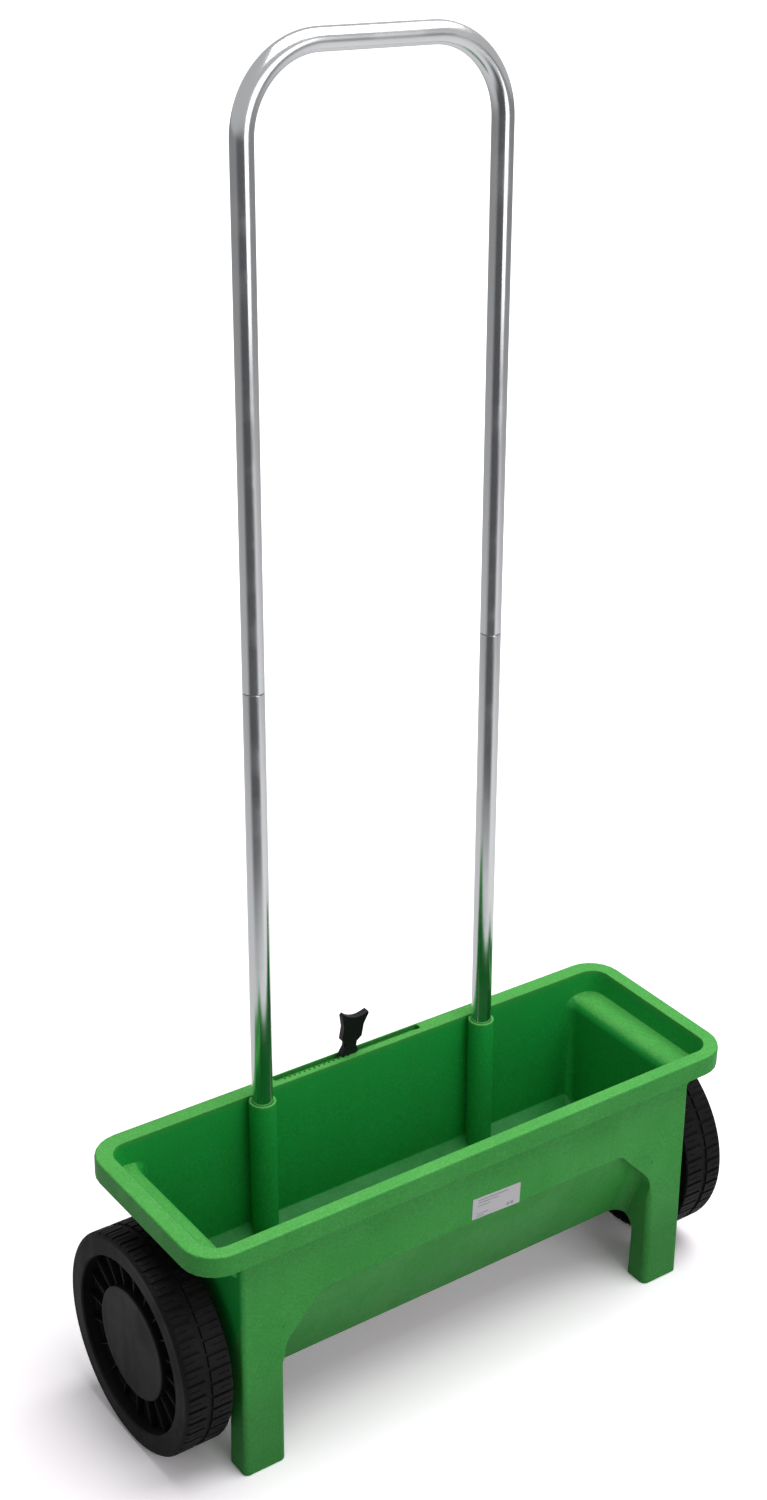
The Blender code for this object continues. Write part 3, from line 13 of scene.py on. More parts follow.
import bmesh
import bpy
import numpy as np
from mathutils import Matrix, Vector


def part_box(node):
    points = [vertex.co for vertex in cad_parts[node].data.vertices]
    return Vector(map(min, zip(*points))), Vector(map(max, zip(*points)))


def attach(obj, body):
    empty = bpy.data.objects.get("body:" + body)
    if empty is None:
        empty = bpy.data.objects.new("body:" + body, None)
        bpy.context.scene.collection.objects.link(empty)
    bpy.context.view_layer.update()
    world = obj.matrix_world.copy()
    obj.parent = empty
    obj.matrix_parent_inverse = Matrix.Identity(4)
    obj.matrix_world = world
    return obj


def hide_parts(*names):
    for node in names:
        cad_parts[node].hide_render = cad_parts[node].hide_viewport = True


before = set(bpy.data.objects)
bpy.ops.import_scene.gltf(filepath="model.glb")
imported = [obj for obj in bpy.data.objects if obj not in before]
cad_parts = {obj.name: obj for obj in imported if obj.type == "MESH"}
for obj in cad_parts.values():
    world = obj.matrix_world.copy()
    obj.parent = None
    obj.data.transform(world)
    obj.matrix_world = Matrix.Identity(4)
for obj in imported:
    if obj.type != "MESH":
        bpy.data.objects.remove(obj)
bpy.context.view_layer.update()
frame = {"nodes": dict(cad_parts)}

# Lengths are in metres and angles in radians.
MERGED_WITHIN = 1e-7
SHARP_PAST = math.radians(32.0)
NEARLY_PARALLEL = 0.82
WHITE = (1.0, 1.0, 1.0)

log = logging.getLogger("spreader")

Colour = tuple[float, float, float]
Point = tuple[float, float, float]
Pair = tuple[float, float]
Socket = bpy.types.NodeSocket
Sockets = bpy.types.bpy_prop_collection


class Body(Enum):
    """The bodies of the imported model."""

    FRAME = "frame"
    AXLE = "axle_assembly"
    RIGHT_WHEEL = "right_wheel"
    LEVER = "lever"
    SHUTTER = "shutter"


class Side(Enum):
    """The two ends of the spreader, with the sign of their X."""

    LEFT = -1.0
    RIGHT = 1.0

    @property
    def word(self) -> str:
        """The side as it stands in the names of the pieces."""
        return self.name.lower()

    @property
    def wheel_body(self) -> Body:
        """The body that the wheel at this end turns with."""
        return Body.AXLE if self is Side.LEFT else Body.RIGHT_WHEEL


# Surfaces


@dataclass
class Patch:
    """A grid of points, rows by columns, that becomes one surface closed round its columns.

    With caps its first and its last row are each closed by a face. lengths holds how far along
    each row and each column lies, in metres, with the whole way round at the end. They become
    the surface's UV map.
    """

    points: np.ndarray
    rows_closed: bool = False
    caps: bool = False
    lengths: tuple[np.ndarray, np.ndarray] | None = None

    def cells(self) -> tuple[np.ndarray, np.ndarray]:
        """Row and column numbers of the grid's cells.

        Returns:
            Two flat arrays with one entry for each cell, row by row.
        """
        rows, columns = self.points.shape[:2]
        row = np.arange(rows if self.rows_closed else rows - 1)
        i, j = np.meshgrid(row, np.arange(columns), indexing="ij")
        return i.ravel(), j.ravel()

    def faces(self, first: int) -> list[tuple[int, ...]]:
        """Corner numbers of the patch's faces.

        Args:
            first: the number of the patch's first point in the mesh.
        Returns:
            One quad for each cell of the grid, and a many-sided face for each cap.
        """
        rows, columns = self.points.shape[:2]
        i, j = self.cells()
        next_i, next_j = (i + 1) % rows, (j + 1) % columns
        corners = (i * columns + j, next_i * columns + j, next_i * columns + next_j, i * columns + next_j)
        faces = [tuple(face) for face in (np.stack(corners, axis=1) + first).tolist()]
        if self.caps:
            ring = np.arange(columns) + first
            faces.append(tuple(ring.tolist()))
            faces.append(tuple((ring[::-1] + (rows - 1) * columns).tolist()))
        return faces

    def corner_lengths(self) -> np.ndarray:
        """The UV of each corner of the faces of a patch with lengths.

        Returns:
            One (along, across) row for each corner, in the order of the faces.
        """
        i, j = self.cells()
        along, across = self.lengths
        u = np.stack((along[i], along[i + 1], along[i + 1], along[i]), axis=1)
        v = np.stack((across[j], across[j], across[j + 1], across[j + 1]), axis=1)
        return np.stack((u, v), axis=2).reshape(-1, 2)


def mesh_of(name: str, patches: list[Patch]) -> bpy.types.Object:
    """One object made of several patches, smooth except where its faces meet sharply.

    Args:
        name: the piece's name.
        patches: closed surfaces, either all with lengths or none.
    Returns:
        The object, at the origin, with its faces outwards.
    """
    points = np.concatenate([patch.points.reshape(-1, 3) for patch in patches])
    starts = np.cumsum([0] + [patch.points.shape[0] * patch.points.shape[1] for patch in patches])
    faces = [face for patch, first in zip(patches, starts) for face in patch.faces(int(first))]
    mesh = bpy.data.meshes.new(name)
    mesh.from_pydata(points.tolist(), [], faces)
    if patches[0].lengths:
        layer = mesh.uv_layers.new(name="surface_lengths")
        found = np.concatenate([patch.corner_lengths() for patch in patches])
        layer.data.foreach_set("uv", found.astype(np.float32).ravel())
    bm = bmesh.new()
    bm.from_mesh(mesh)
    bmesh.ops.remove_doubles(bm, verts=bm.verts, dist=MERGED_WITHIN)
    bmesh.ops.recalc_face_normals(bm, faces=bm.faces)
    bm.to_mesh(mesh)
    bm.free()
    mesh.shade_smooth()
    mesh.set_sharp_from_angle(angle=SHARP_PAST)
    return added(name, mesh)


def added(name: str, data: bpy.types.ID) -> bpy.types.Object:
    """A new object in the scene.

    Args:
        name: the object's name.
        data: its mesh, lamp or camera.
    Returns:
        The object, at the origin.
    """
    obj = bpy.data.objects.new(name, data)
    bpy.context.scene.collection.objects.link(obj)
    return obj


def arc(centre: Pair, radius: float, start: float, end: float, steps: int) -> np.ndarray:
    """Points of a circle's arc: centre + radius (cos a, sin a) for a from start to end degrees."""
    angle = np.radians(np.linspace(start, end, steps + 1))
    return np.stack((centre[0] + radius * np.cos(angle), centre[1] + radius * np.sin(angle)), axis=1)


def filleted(corners: list[tuple[float, float, float]], steps: int) -> np.ndarray:
    """An open outline with a round of its own at each corner between its ends.

    Each corner is replaced by the arc that touches both of its sides.

    Args:
        corners: (first, second, radius) of each corner in turn. The ends' radii aren't used.
        steps: how many sides each arc has.
    Returns:
        The outline's points, one row each.
    """
    points = [np.array(corners[0][:2])[None]]
    for before, (x, y, radius), after in zip(corners, corners[1:], corners[2:]):
        corner = np.array((x, y))
        back, ahead = np.array(before[:2]) - corner, np.array(after[:2]) - corner
        back, ahead = back / np.linalg.norm(back), ahead / np.linalg.norm(ahead)
        half = math.acos(float(np.clip(back @ ahead, -1.0, 1.0))) / 2
        middle = back + ahead
        centre = corner + middle / np.linalg.norm(middle) * radius / math.sin(half)
        start = corner + back * radius / math.tan(half) - centre
        end = corner + ahead * radius / math.tan(half) - centre
        sweep = math.atan2(start[0] * end[1] - start[1] * end[0], start @ end)
        angle = np.linspace(0.0, sweep, steps + 1)[:, None]
        across = np.array((-start[1], start[0]))
        points.append(centre + start * np.cos(angle) + across * np.sin(angle))
    points.append(np.array(corners[-1][:2])[None])
    return np.concatenate(points)


def turned(profile: np.ndarray, sides: int, centre: Point) -> Patch:
    """A surface of revolution round the X direction.

    A profile point (x, r) goes to centre + (x, r cos a, r sin a), for each a round the circle.
    The profile's ends lie on the axis and close as poles.

    Args:
        profile: outline from pole to pole, one (x, radius) row for each point.
        sides: how many steps the circle has.
        centre: a point on the axis.
    Returns:
        A patch with its rows along the profile and its columns round the axis.
    """
    angle = 2 * np.pi * np.arange(sides) / sides
    radius = profile[:, 1:]
    along = np.broadcast_to(profile[:, :1], (len(profile), sides))
    points = np.stack((along, radius * np.cos(angle), radius * np.sin(angle)), axis=2)
    return Patch(points + np.array(centre))


def swept(path: np.ndarray, sideways: np.ndarray, back: np.ndarray, radius: np.ndarray, sides: int) -> Patch:
    """A round section carried along a path and closed end to end.

    A point is path(s) + radius(s) (cos a sideways(s) + sin a back), for each a round the circle.

    Args:
        path: the centre line, one point a row.
        sideways: the section's first direction at each point.
        back: its second direction, the same all along.
        radius: the section's radius at each point.
        sides: how many steps the circle has.
    Returns:
        A patch whose rows follow the path.
    """
    angle = 2 * np.pi * np.arange(sides) / sides
    ring = np.cos(angle)[None, :, None] * sideways[:, None] + np.sin(angle)[None, :, None] * back
    points = path[:, None] + radius[:, None, None] * ring
    step = np.linalg.norm(np.diff(path, axis=0, append=path[:1]), axis=1)
    around = 2 * np.pi * float(radius.max()) * np.arange(sides + 1) / sides
    return Patch(points, rows_closed=True, lengths=(np.concatenate(([0.0], np.cumsum(step))), around))


# Node graphs


def rgba(colour: Colour) -> tuple[float, float, float, float]:
    """The colour with its alpha."""
    return (*colour, 1.0)


def scaled(values: Point, share: float) -> Point:
    """Three numbers times a share."""
    return tuple(share * value for value in values)


class Graph:
    """Adds nodes to one tree and links them."""

    def __init__(self, tree: bpy.types.NodeTree) -> None:
        """Keeps the tree."""
        self.tree = tree

    def fill(self, socket: Socket, value: object) -> None:
        """Gives an input a value.

        Args:
            socket: the input.
            value: an output to link, or a number, vector or colour.
        """
        if isinstance(value, Socket):
            self.tree.links.new(value, socket)
        else:
            socket.default_value = value

    def add(self, kind: str, values: dict | None = None, **settings: object) -> bpy.types.Node:
        """Adds a node.

        Args:
            kind: the node's type without its ShaderNode prefix.
            values: numbers, colours or output sockets by input name or number.
            settings: the node's own properties.
        Returns:
            The node.
        """
        node = self.tree.nodes.new("ShaderNode" + kind)
        for name, value in settings.items():
            setattr(node, name, value)
        for name, value in (values or {}).items():
            self.fill(node.inputs[name], value)
        return node

    def use(self, group: bpy.types.NodeTree, values: dict | None = None) -> Sockets:
        """The outputs of a group placed with its own values."""
        return self.add("Group", values, node_tree=group).outputs

    def math(self, operation: str, *values: object) -> Socket:
        """The result of one Math node."""
        return self.add("Math", dict(enumerate(values)), operation=operation).outputs[0]

    def chain(self, operation: str, *values: object) -> Socket:
        """The values joined one after the other by the same operation."""
        return reduce(lambda found, value: self.math(operation, found, value), values)

    def product(self, *values: object) -> Socket:
        """The product of the values."""
        return self.chain("MULTIPLY", *values)

    def mix(self, factor: object, first: object, second: object, blend: str = "MIX") -> Socket:
        """Two colours mixed by a factor.

        Args:
            factor: the second colour's share.
            first: the first colour.
            second: the second colour.
            blend: how they mix.
        Returns:
            The mixed colour.
        """
        node = self.add("Mix", data_type="RGBA", blend_type=blend)
        for number, value in ((0, factor), (6, first), (7, second)):
            self.fill(node.inputs[number], value)
        return node.outputs[2]

    def span(
        self, value: object, low: float, high: float, to_low: object = 0.0, to_high: object = 1.0
    ) -> Socket:
        """A value carried smoothly from the range low to high to the range to_low to to_high."""
        given = {"Value": value, "From Min": low, "From Max": high, "To Min": to_low, "To Max": to_high}
        return self.add("MapRange", given, interpolation_type="SMOOTHSTEP").outputs[0]

    def noise(self, vector: object, scale: object, detail: float = 3.0, roughness: float = 0.55) -> Socket:
        """Noise from 0 to 1."""
        given = {"Vector": vector, "Scale": scale, "Detail": detail, "Roughness": roughness}
        return self.add("TexNoise", given).outputs[0]

    def mapped(self, vector: object, **changes: object) -> Socket:
        """A vector moved, turned or scaled by a Mapping node."""
        return self.add("Mapping", {"Vector": vector} | changes).outputs[0]

    def place(self) -> Socket:
        """The point on the piece in its object's coordinates."""
        return self.add("TexCoord").outputs["Object"]

    def parts(self, vector: object) -> Sockets:
        """The three parts of a vector."""
        return self.add("SeparateXYZ", {0: vector}).outputs

    def facing(self) -> Socket:
        """How far the surface faces up, from -1 to 1."""
        return self.parts(self.add("NewGeometry").outputs["Normal"])[2]

    def colour(self, red: object, green: object, blue: object) -> Socket:
        """A colour from its three parts."""
        return self.add("CombineColor", {0: red, 1: green, 2: blue}).outputs[0]


class Group(Graph):
    """The graph of a shader group with named inputs and outputs."""

    def __init__(self, name: str, inputs: dict[str, object], outputs: dict[str, str]) -> None:
        """Makes a group that holds only its input and its output.

        Args:
            name: the group's name.
            inputs: default value of each input, a colour, a vector or a number.
            outputs: socket type of each output, Float or Color.
        """
        super().__init__(bpy.data.node_groups.new(name, "ShaderNodeTree"))
        kinds = {3: "Vector", 4: "Color"}
        for label, value in inputs.items():
            kind = "NodeSocket" + (kinds[len(value)] if isinstance(value, tuple) else "Float")
            socket = self.tree.interface.new_socket(label, in_out="INPUT", socket_type=kind)
            socket.default_value = value
        for label, kind in outputs.items():
            self.tree.interface.new_socket(label, in_out="OUTPUT", socket_type="NodeSocket" + kind)
        self.given = self.tree.nodes.new("NodeGroupInput").outputs
        self.out = self.tree.nodes.new("NodeGroupOutput").inputs

    def give(self, **results: Socket) -> bpy.types.NodeTree:
        """Links the results to the outputs of the same names.

        Args:
            results: one socket for each output.
        Returns:
            The group.
        """
        for label, value in results.items():
            self.tree.links.new(value, self.out[label])
        return self.tree


class Effects:
    """The shader groups that the finishes share."""

    def __init__(self) -> None:
        """Builds each group once."""
        self.grain = self.build_grain()
        self.drift = self.build_drift()
        self.mottle = self.build_mottle()
        self.scuffs = self.build_scuffs()
        self.dust = self.build_dust()
        self.drawn = self.build_drawn()
        self.exposure = self.build_exposure()

    @staticmethod
    def build_grain() -> bpy.types.NodeTree:
        """Fine pits of a textured mould over a slow ripple.

        Returns:
            A group that gives the Height and the pits as a mask.
        """
        inputs = {"Pits Per Metre": 2600.0, "Ripples Per Metre": 120.0, "Ripple Share": 0.5}
        group = Group("moulded_grain", inputs, {"Height": "Float", "Pits": "Float"})
        place, density = group.place(), group.given["Pits Per Metre"]
        pits = group.noise(place, density, 2.0, 0.6)
        cells = group.add("TexVoronoi", {"Vector": place, "Scale": density}, feature="SMOOTH_F1")
        ripple = group.noise(place, group.given["Ripples Per Metre"], 1.0, 0.4)
        fine = group.product(pits, cells.outputs["Distance"])
        slow = group.product(ripple, group.given["Ripple Share"])
        return group.give(Height=group.math("ADD", fine, slow), Pits=group.span(pits, 0.35, 0.65))

    @staticmethod
    def build_drift() -> bpy.types.NodeTree:
        """Colour that drifts slowly between two tones, with long flow lines from the mould.

        Returns:
            A group that gives the Color and the Cloud that mixed it.
        """
        tones = {"Light": rgba((0.5, 0.5, 0.5)), "Deep": rgba((0.4, 0.4, 0.4))}
        inputs = tones | {"Clouds Per Metre": 14.0, "Flow": 0.3}
        group = Group("tone_drift", inputs, {"Color": "Color", "Cloud": "Float"})
        place = group.place()
        cloud = group.noise(place, group.given["Clouds Per Metre"], 4.0, 0.6)
        flow = group.noise(group.mapped(place, Scale=(1.0, 1.0, 0.12)), 90.0, 2.0, 0.5)
        flow = group.product(group.math("SUBTRACT", flow, 0.5), group.given["Flow"])
        factor = group.span(group.math("ADD", cloud, flow), 0.3, 0.7)
        return group.give(Color=group.mix(factor, group.given["Light"], group.given["Deep"]), Cloud=factor)

    @staticmethod
    def build_mottle() -> bpy.types.NodeTree:
        """Specks of a slightly lighter and darker tone.

        Returns:
            A group that gives the Tint, one plus or minus the Amount.
        """
        group = Group("mottle", {"Specks Per Metre": 620.0, "Amount": 0.1}, {"Tint": "Color"})
        specks = group.noise(group.place(), group.given["Specks Per Metre"], 2.0, 0.7)
        low = group.math("SUBTRACT", 1.0, group.given["Amount"])
        level = group.span(specks, 0.3, 0.7, low, group.math("ADD", 1.0, group.given["Amount"]))
        return group.give(Tint=group.colour(level, level, level))

    @staticmethod
    def build_scuffs() -> bpy.types.NodeTree:
        """Short thin scratches in two directions, inside small rubbed patches.

        Returns:
            A group that gives them as one Mask.
        """
        inputs = {"Lines Per Metre": 55.0, "Thinness": 0.012, "Amount": 0.5}
        group = Group("scuffs", inputs, {"Mask": "Float"})
        place = group.place()
        masks = []
        for turn in ((0.3, 0.2, 0.5), (1.1, -0.4, 2.0)):
            stretched = group.mapped(place, Rotation=turn, Scale=(1.0, 0.18, 1.0))
            lines = group.noise(stretched, group.given["Lines Per Metre"], 1.0, 0.3)
            near = group.math("ABSOLUTE", group.math("SUBTRACT", lines, 0.5))
            masks.append(group.math("LESS_THAN", near, group.given["Thinness"]))
        patches = group.span(group.noise(place, 31.0, 2.0, 0.7), 0.55, 0.7)
        return group.give(Mask=group.product(group.math("MAXIMUM", *masks), patches, group.given["Amount"]))

    @staticmethod
    def build_dust() -> bpy.types.NodeTree:
        """A thin broken film of dust on what faces up.

        Returns:
            A group that gives it as a Mask.
        """
        group = Group("dust", {"Amount": 0.3, "Specks Per Metre": 700.0}, {"Mask": "Float"})
        place = group.place()
        up = group.span(group.facing(), 0.2, 1.0)
        specks = group.span(group.noise(place, group.given["Specks Per Metre"], 2.0, 0.7), 0.5, 0.75)
        patches = group.span(group.noise(place, 18.0, 3.0, 0.6), 0.35, 0.75)
        return group.give(Mask=group.product(specks, patches, up, group.given["Amount"]))

    @staticmethod
    def build_drawn() -> bpy.types.NodeTree:
        """Long fine lines along a drawn or polished bar, from the surface's own lengths.

        Returns:
            A group that gives the Lines and a slow Smudge.
        """
        inputs = {"Lengths": (0.0, 0.0, 0.0), "Lines Per Metre": 2400.0, "Stretch": 0.01}
        group = Group("drawn_lines", inputs, {"Lines": "Float", "Smudge": "Float"})
        lengths = group.parts(group.given["Lengths"])
        along = group.product(lengths[0], group.given["Stretch"])
        squeezed = group.add("CombineXYZ", {0: along, 1: lengths[1]}).outputs[0]
        lines = group.noise(squeezed, group.given["Lines Per Metre"], 3.0, 0.6)
        smudge = group.span(group.noise(group.place(), 22.0, 3.0, 0.6), 0.4, 0.75)
        return group.give(Lines=lines, Smudge=smudge)

    @staticmethod
    def build_exposure() -> bpy.types.NodeTree:
        """Where painted light and painted shade go on the trough.

        The inside lies between the leaning front and rear walls and below the rim. The front
        wall folds further in below the Fold. What faces up past the End belongs to the ledges.

        Returns:
            A group that gives the Rim, where a painted highlight goes on the rim's top and the ledges,
            the Inside, painted shade in the trough, the Slope, which is what faces up inside, for more
            painted shade there, and the Foot, painted shade that darkens the lower part of the legs.
        """
        inputs = {
            "Rim Top": 0.248, "Front Foot": -0.0945, "Rear Foot": 0.0795, "Lean": 0.03,
            "Fold": 0.1655, "Fold Slope": 0.4, "End": 0.2455, "Mouth": 0.277, "Ledge Share": 0.8,
        }
        group = Group("exposure", inputs, dict.fromkeys(("Rim", "Inside", "Slope", "Foot"), "Float"))
        given = group.given
        place, facing = group.parts(group.place()), group.facing()
        below = group.math("SUBTRACT", given["Rim Top"], place[2])
        across = group.math("ABSOLUTE", place[0])
        lean = group.product(place[2], given["Lean"])
        folded = group.math("MAXIMUM", group.math("SUBTRACT", given["Fold"], place[2]), 0.0)
        front = group.chain("ADD", given["Front Foot"], lean, group.product(folded, given["Fold Slope"]))
        behind = group.math("GREATER_THAN", place[1], front)
        before = group.math("LESS_THAN", place[1], group.math("ADD", given["Rear Foot"], lean))
        mouth = group.product(behind, before, group.math("LESS_THAN", across, given["Mouth"]))
        past = group.span(group.math("SUBTRACT", across, given["End"]), 0.0, 0.004)
        shelf = group.product(past, group.span(facing, 0.2, 0.8))
        upright = group.math("GREATER_THAN", facing, -0.3)
        sunk = group.span(below, 0.001, 0.006)
        inside = group.product(mouth, group.math("SUBTRACT", 1.0, shelf), sunk, upright)
        top = group.product(group.span(facing, 0.3, 0.95), group.span(below, 0.012, 0.002))
        ledge = group.product(mouth, shelf, given["Ledge Share"])
        # Rim masks a painted highlight; Inside, Slope and Foot mask painted shade.
        return group.give(
            Rim=group.math("MAXIMUM", top, ledge),
            Inside=inside,
            Slope=group.product(inside, group.span(facing, 0.25, 0.7)),
            Foot=group.span(place[2], 0.15, 0.04),
        )


class Coat(Graph):
    """The graph of a new material round its shader."""

    def __init__(self, name: str, values: dict[str, float] | None = None) -> None:
        """Makes the material.

        Args:
            name: the material's name.
            values: the shader's own numbers by input name.
        """
        self.made = bpy.data.materials.new(name)
        self.made.use_nodes = True
        super().__init__(self.made.node_tree)
        self.shader = self.tree.nodes["Principled BSDF"]
        for label, value in (values or {}).items():
            self.fill(self.shader.inputs[label], value)

    def finish(self, colour: Socket, rough: Socket, height: Socket, relief: float) -> bpy.types.Material:
        """Links what makes up the surface to the shader.

        Args:
            colour: the colour.
            rough: the roughness.
            height: the relief's height, from 0 to about 1.
            relief: how many metres a height of 1 is.
        Returns:
            The material.
        """
        bump = self.add("Bump", {"Height": height, "Distance": relief, "Strength": 1.0})
        for label, value in (("Base Color", colour), ("Roughness", rough), ("Normal", bump.outputs[0])):
            self.fill(self.shader.inputs[label], value)
        return self.made


@dataclass(frozen=True)
class MouldedPlastic:
    """A moulded plastic with a fine mould texture, slow colour drift, scuffs and dust.

    Mottle adds specks of a lighter and darker tone. Each tint is painted light: multiplied into one
    part of the trough by the names of the painted light group's outputs, it paints a highlight on
    the rim or shade inside and low down.
    """

    name: str
    light: Colour
    deep: Colour
    scuff: Colour
    roughness: Pair
    pits_per_metre: float = 2400.0
    relief: float = 0.00002
    scuff_amount: float = 0.25
    dust_amount: float = 0.12
    dust: Colour = (0.35, 0.34, 0.31)
    specular: float = 0.42
    mottle: float = 0.0
    painted_light_tints: tuple[tuple[str, Colour], ...] = ()
    pit_roughness: float = 0.04
    scuff_roughness: float = 0.2

    def material(self, effects: Effects) -> bpy.types.Material:
        """Builds the material.

        Args:
            effects: the shared groups.
        Returns:
            A new material.
        """
        coat = Coat(self.name, {"Specular IOR Level": self.specular})
        drift = coat.use(effects.drift, {"Light": rgba(self.light), "Deep": rgba(self.deep)})
        tone = drift["Color"]
        if self.mottle:
            specks = coat.use(effects.mottle, {"Amount": self.mottle})
            tone = coat.mix(1.0, tone, specks["Tint"], "MULTIPLY")
        # painted highlight and painted shade: each tint is multiplied into the tone by its place on the
        # trough
        if self.painted_light_tints:
            exposure = coat.use(effects.exposure)
            for part, tint in self.painted_light_tints:
                share = coat.mix(exposure[part], rgba(WHITE), rgba(tint))
                tone = coat.mix(1.0, tone, share, "MULTIPLY")
        grain = coat.use(effects.grain, {"Pits Per Metre": self.pits_per_metre})
        scuffs = coat.use(effects.scuffs, {"Amount": self.scuff_amount})["Mask"]
        dust = coat.use(effects.dust, {"Amount": self.dust_amount})["Mask"]
        colour = coat.mix(dust, coat.mix(scuffs, tone, rgba(self.scuff)), rgba(self.dust))
        pits = coat.product(grain["Pits"], self.pit_roughness)
        rubbed = coat.product(scuffs, self.scuff_roughness)
        rough = coat.chain("ADD", coat.span(drift["Cloud"], 0.0, 1.0, *self.roughness), pits, rubbed)
        return coat.finish(colour, rough, grain["Height"], self.relief)


@dataclass(frozen=True)
class BrightTube:
    """Bright plated tube with drawing lines along it."""

    name: str
    colour: Colour
    roughness: Pair
    relief: float = 0.000004
    line_roughness: float = 0.05
    line_tone: float = 0.93

    def material(self, effects: Effects) -> bpy.types.Material:
        """Builds the material.

        Args:
            effects: the shared groups.
        Returns:
            A new material.
        """
        coat = Coat(self.name, {"Metallic": 1.0})
        lengths = coat.add("UVMap", uv_map="surface_lengths").outputs[0]
        drawn = coat.use(effects.drawn, {"Lengths": lengths})
        smudge = coat.span(drawn["Smudge"], 0.0, 1.0, *self.roughness)
        rough = coat.math("ADD", smudge, coat.product(drawn["Lines"], self.line_roughness))
        colour = coat.mix(drawn["Lines"], rgba(self.colour), rgba(scaled(self.colour, self.line_tone)))
        return coat.finish(colour, rough, drawn["Lines"], self.relief)


@dataclass(frozen=True)
class ZincSteel:
    """Zinc-plated steel with a mottled passivation and small scratches."""

    name: str
    light: Colour = (0.58, 0.59, 0.60)
    deep: Colour = (0.45, 0.45, 0.44)
    scratch: Colour = (0.75, 0.75, 0.75)
    roughness: Pair = (0.26, 0.42)
    scratch_roughness: float = 0.1
    clouds_per_metre: float = 190.0
    scratches_per_metre: float = 400.0
    scratch_amount: float = 0.7
    pits_per_metre: float = 3500.0
    relief: float = 0.000012

    def material(self, effects: Effects) -> bpy.types.Material:
        """Builds the material.

        Args:
            effects: the shared groups.
        Returns:
            A new material.
        """
        coat = Coat(self.name, {"Metallic": 1.0})
        tones = {"Light": rgba(self.light), "Deep": rgba(self.deep)}
        drift = coat.use(effects.drift, tones | {"Clouds Per Metre": self.clouds_per_metre})
        lines = {"Lines Per Metre": self.scratches_per_metre, "Amount": self.scratch_amount}
        scratches = coat.use(effects.scuffs, lines)["Mask"]
        grain = coat.use(effects.grain, {"Pits Per Metre": self.pits_per_metre})
        smooth = coat.product(scratches, self.scratch_roughness)
        rough = coat.math("SUBTRACT", coat.span(drift["Cloud"], 0.0, 1.0, *self.roughness), smooth)
        colour = coat.mix(scratches, drift["Color"], rgba(self.scratch))
        return coat.finish(colour, rough, grain["Height"], self.relief)


@dataclass(frozen=True)
class LabelFilm:
    """A pale film label with a few faint printed rules, each (x, z, half width, half height)."""

    name: str
    paper: Colour
    rule: Colour
    centre: Point
    tilt: float
    roughness: Pair = (0.3, 0.42)
    deep_tone: float = 0.93
    wear_per_metre: float = 2600.0
    pits_per_metre: float = 1500.0
    relief: float = 0.00001
    marks: tuple[tuple[float, float, float, float], ...] = (
        (-0.0040, 0.0078, 0.0170, 0.0006),
        (-0.0090, 0.0050, 0.0115, 0.0006),
        (-0.0140, 0.0018, 0.0070, 0.0005),
        (-0.0155, -0.0062, 0.0065, 0.0005),
        (-0.0180, -0.0086, 0.0042, 0.0005),
        (0.0135, -0.0070, 0.0016, 0.0016),
        (0.0180, -0.0070, 0.0016, 0.0016),
    )

    def printed(self, coat: Coat, place: Socket) -> Socket:
        """Where the rules are printed.

        Args:
            coat: the material's graph.
            place: the point on the piece.
        Returns:
            A mask of the rules, without wear.
        """
        moved = coat.mapped(place, Location=scaled(self.centre, -1.0))
        across, _, up = coat.parts(coat.mapped(moved, Rotation=(0.0, -self.tilt, 0.0)))
        masks = []
        for x, z, half_x, half_z in self.marks:
            wide = coat.math("LESS_THAN", coat.math("ABSOLUTE", coat.math("SUBTRACT", across, x)), half_x)
            high = coat.math("LESS_THAN", coat.math("ABSOLUTE", coat.math("SUBTRACT", up, z)), half_z)
            masks.append(coat.product(wide, high))
        return coat.chain("MAXIMUM", *masks)

    def material(self, effects: Effects) -> bpy.types.Material:
        """Builds the material.

        Args:
            effects: the shared groups.
        Returns:
            A new material.
        """
        coat = Coat(self.name)
        place = coat.place()
        worn = coat.span(coat.noise(place, self.wear_per_metre, 1.0), 0.35, 0.6, 0.25, 0.9)
        mask = coat.product(self.printed(coat, place), worn)
        tones = {"Light": rgba(self.paper), "Deep": rgba(scaled(self.paper, self.deep_tone))}
        drift = coat.use(effects.drift, tones)
        grain = coat.use(effects.grain, {"Pits Per Metre": self.pits_per_metre})
        rough = coat.span(drift["Cloud"], 0.0, 1.0, *self.roughness)
        colour = coat.mix(mask, drift["Color"], rgba(self.rule))
        return coat.finish(colour, rough, grain["Height"], self.relief)


class Finish(Enum):
    """The finishes, each with its name and the record's slot that it fills."""

    GREEN = ("spreader_green", "green_plastic")
    LEVER = ("lever_black", "black_plastic")
    WHEEL = ("wheel_black", "black_plastic")
    CAP = ("hub_cap_black", "black_plastic")
    PALE = ("natural_plastic", "pale_plastic")
    TUBE = ("bright_plating", "bright_tube")
    STEEL = ("zinc_steel", "plain_steel")
    FILM = ("label_paper", "label_film")


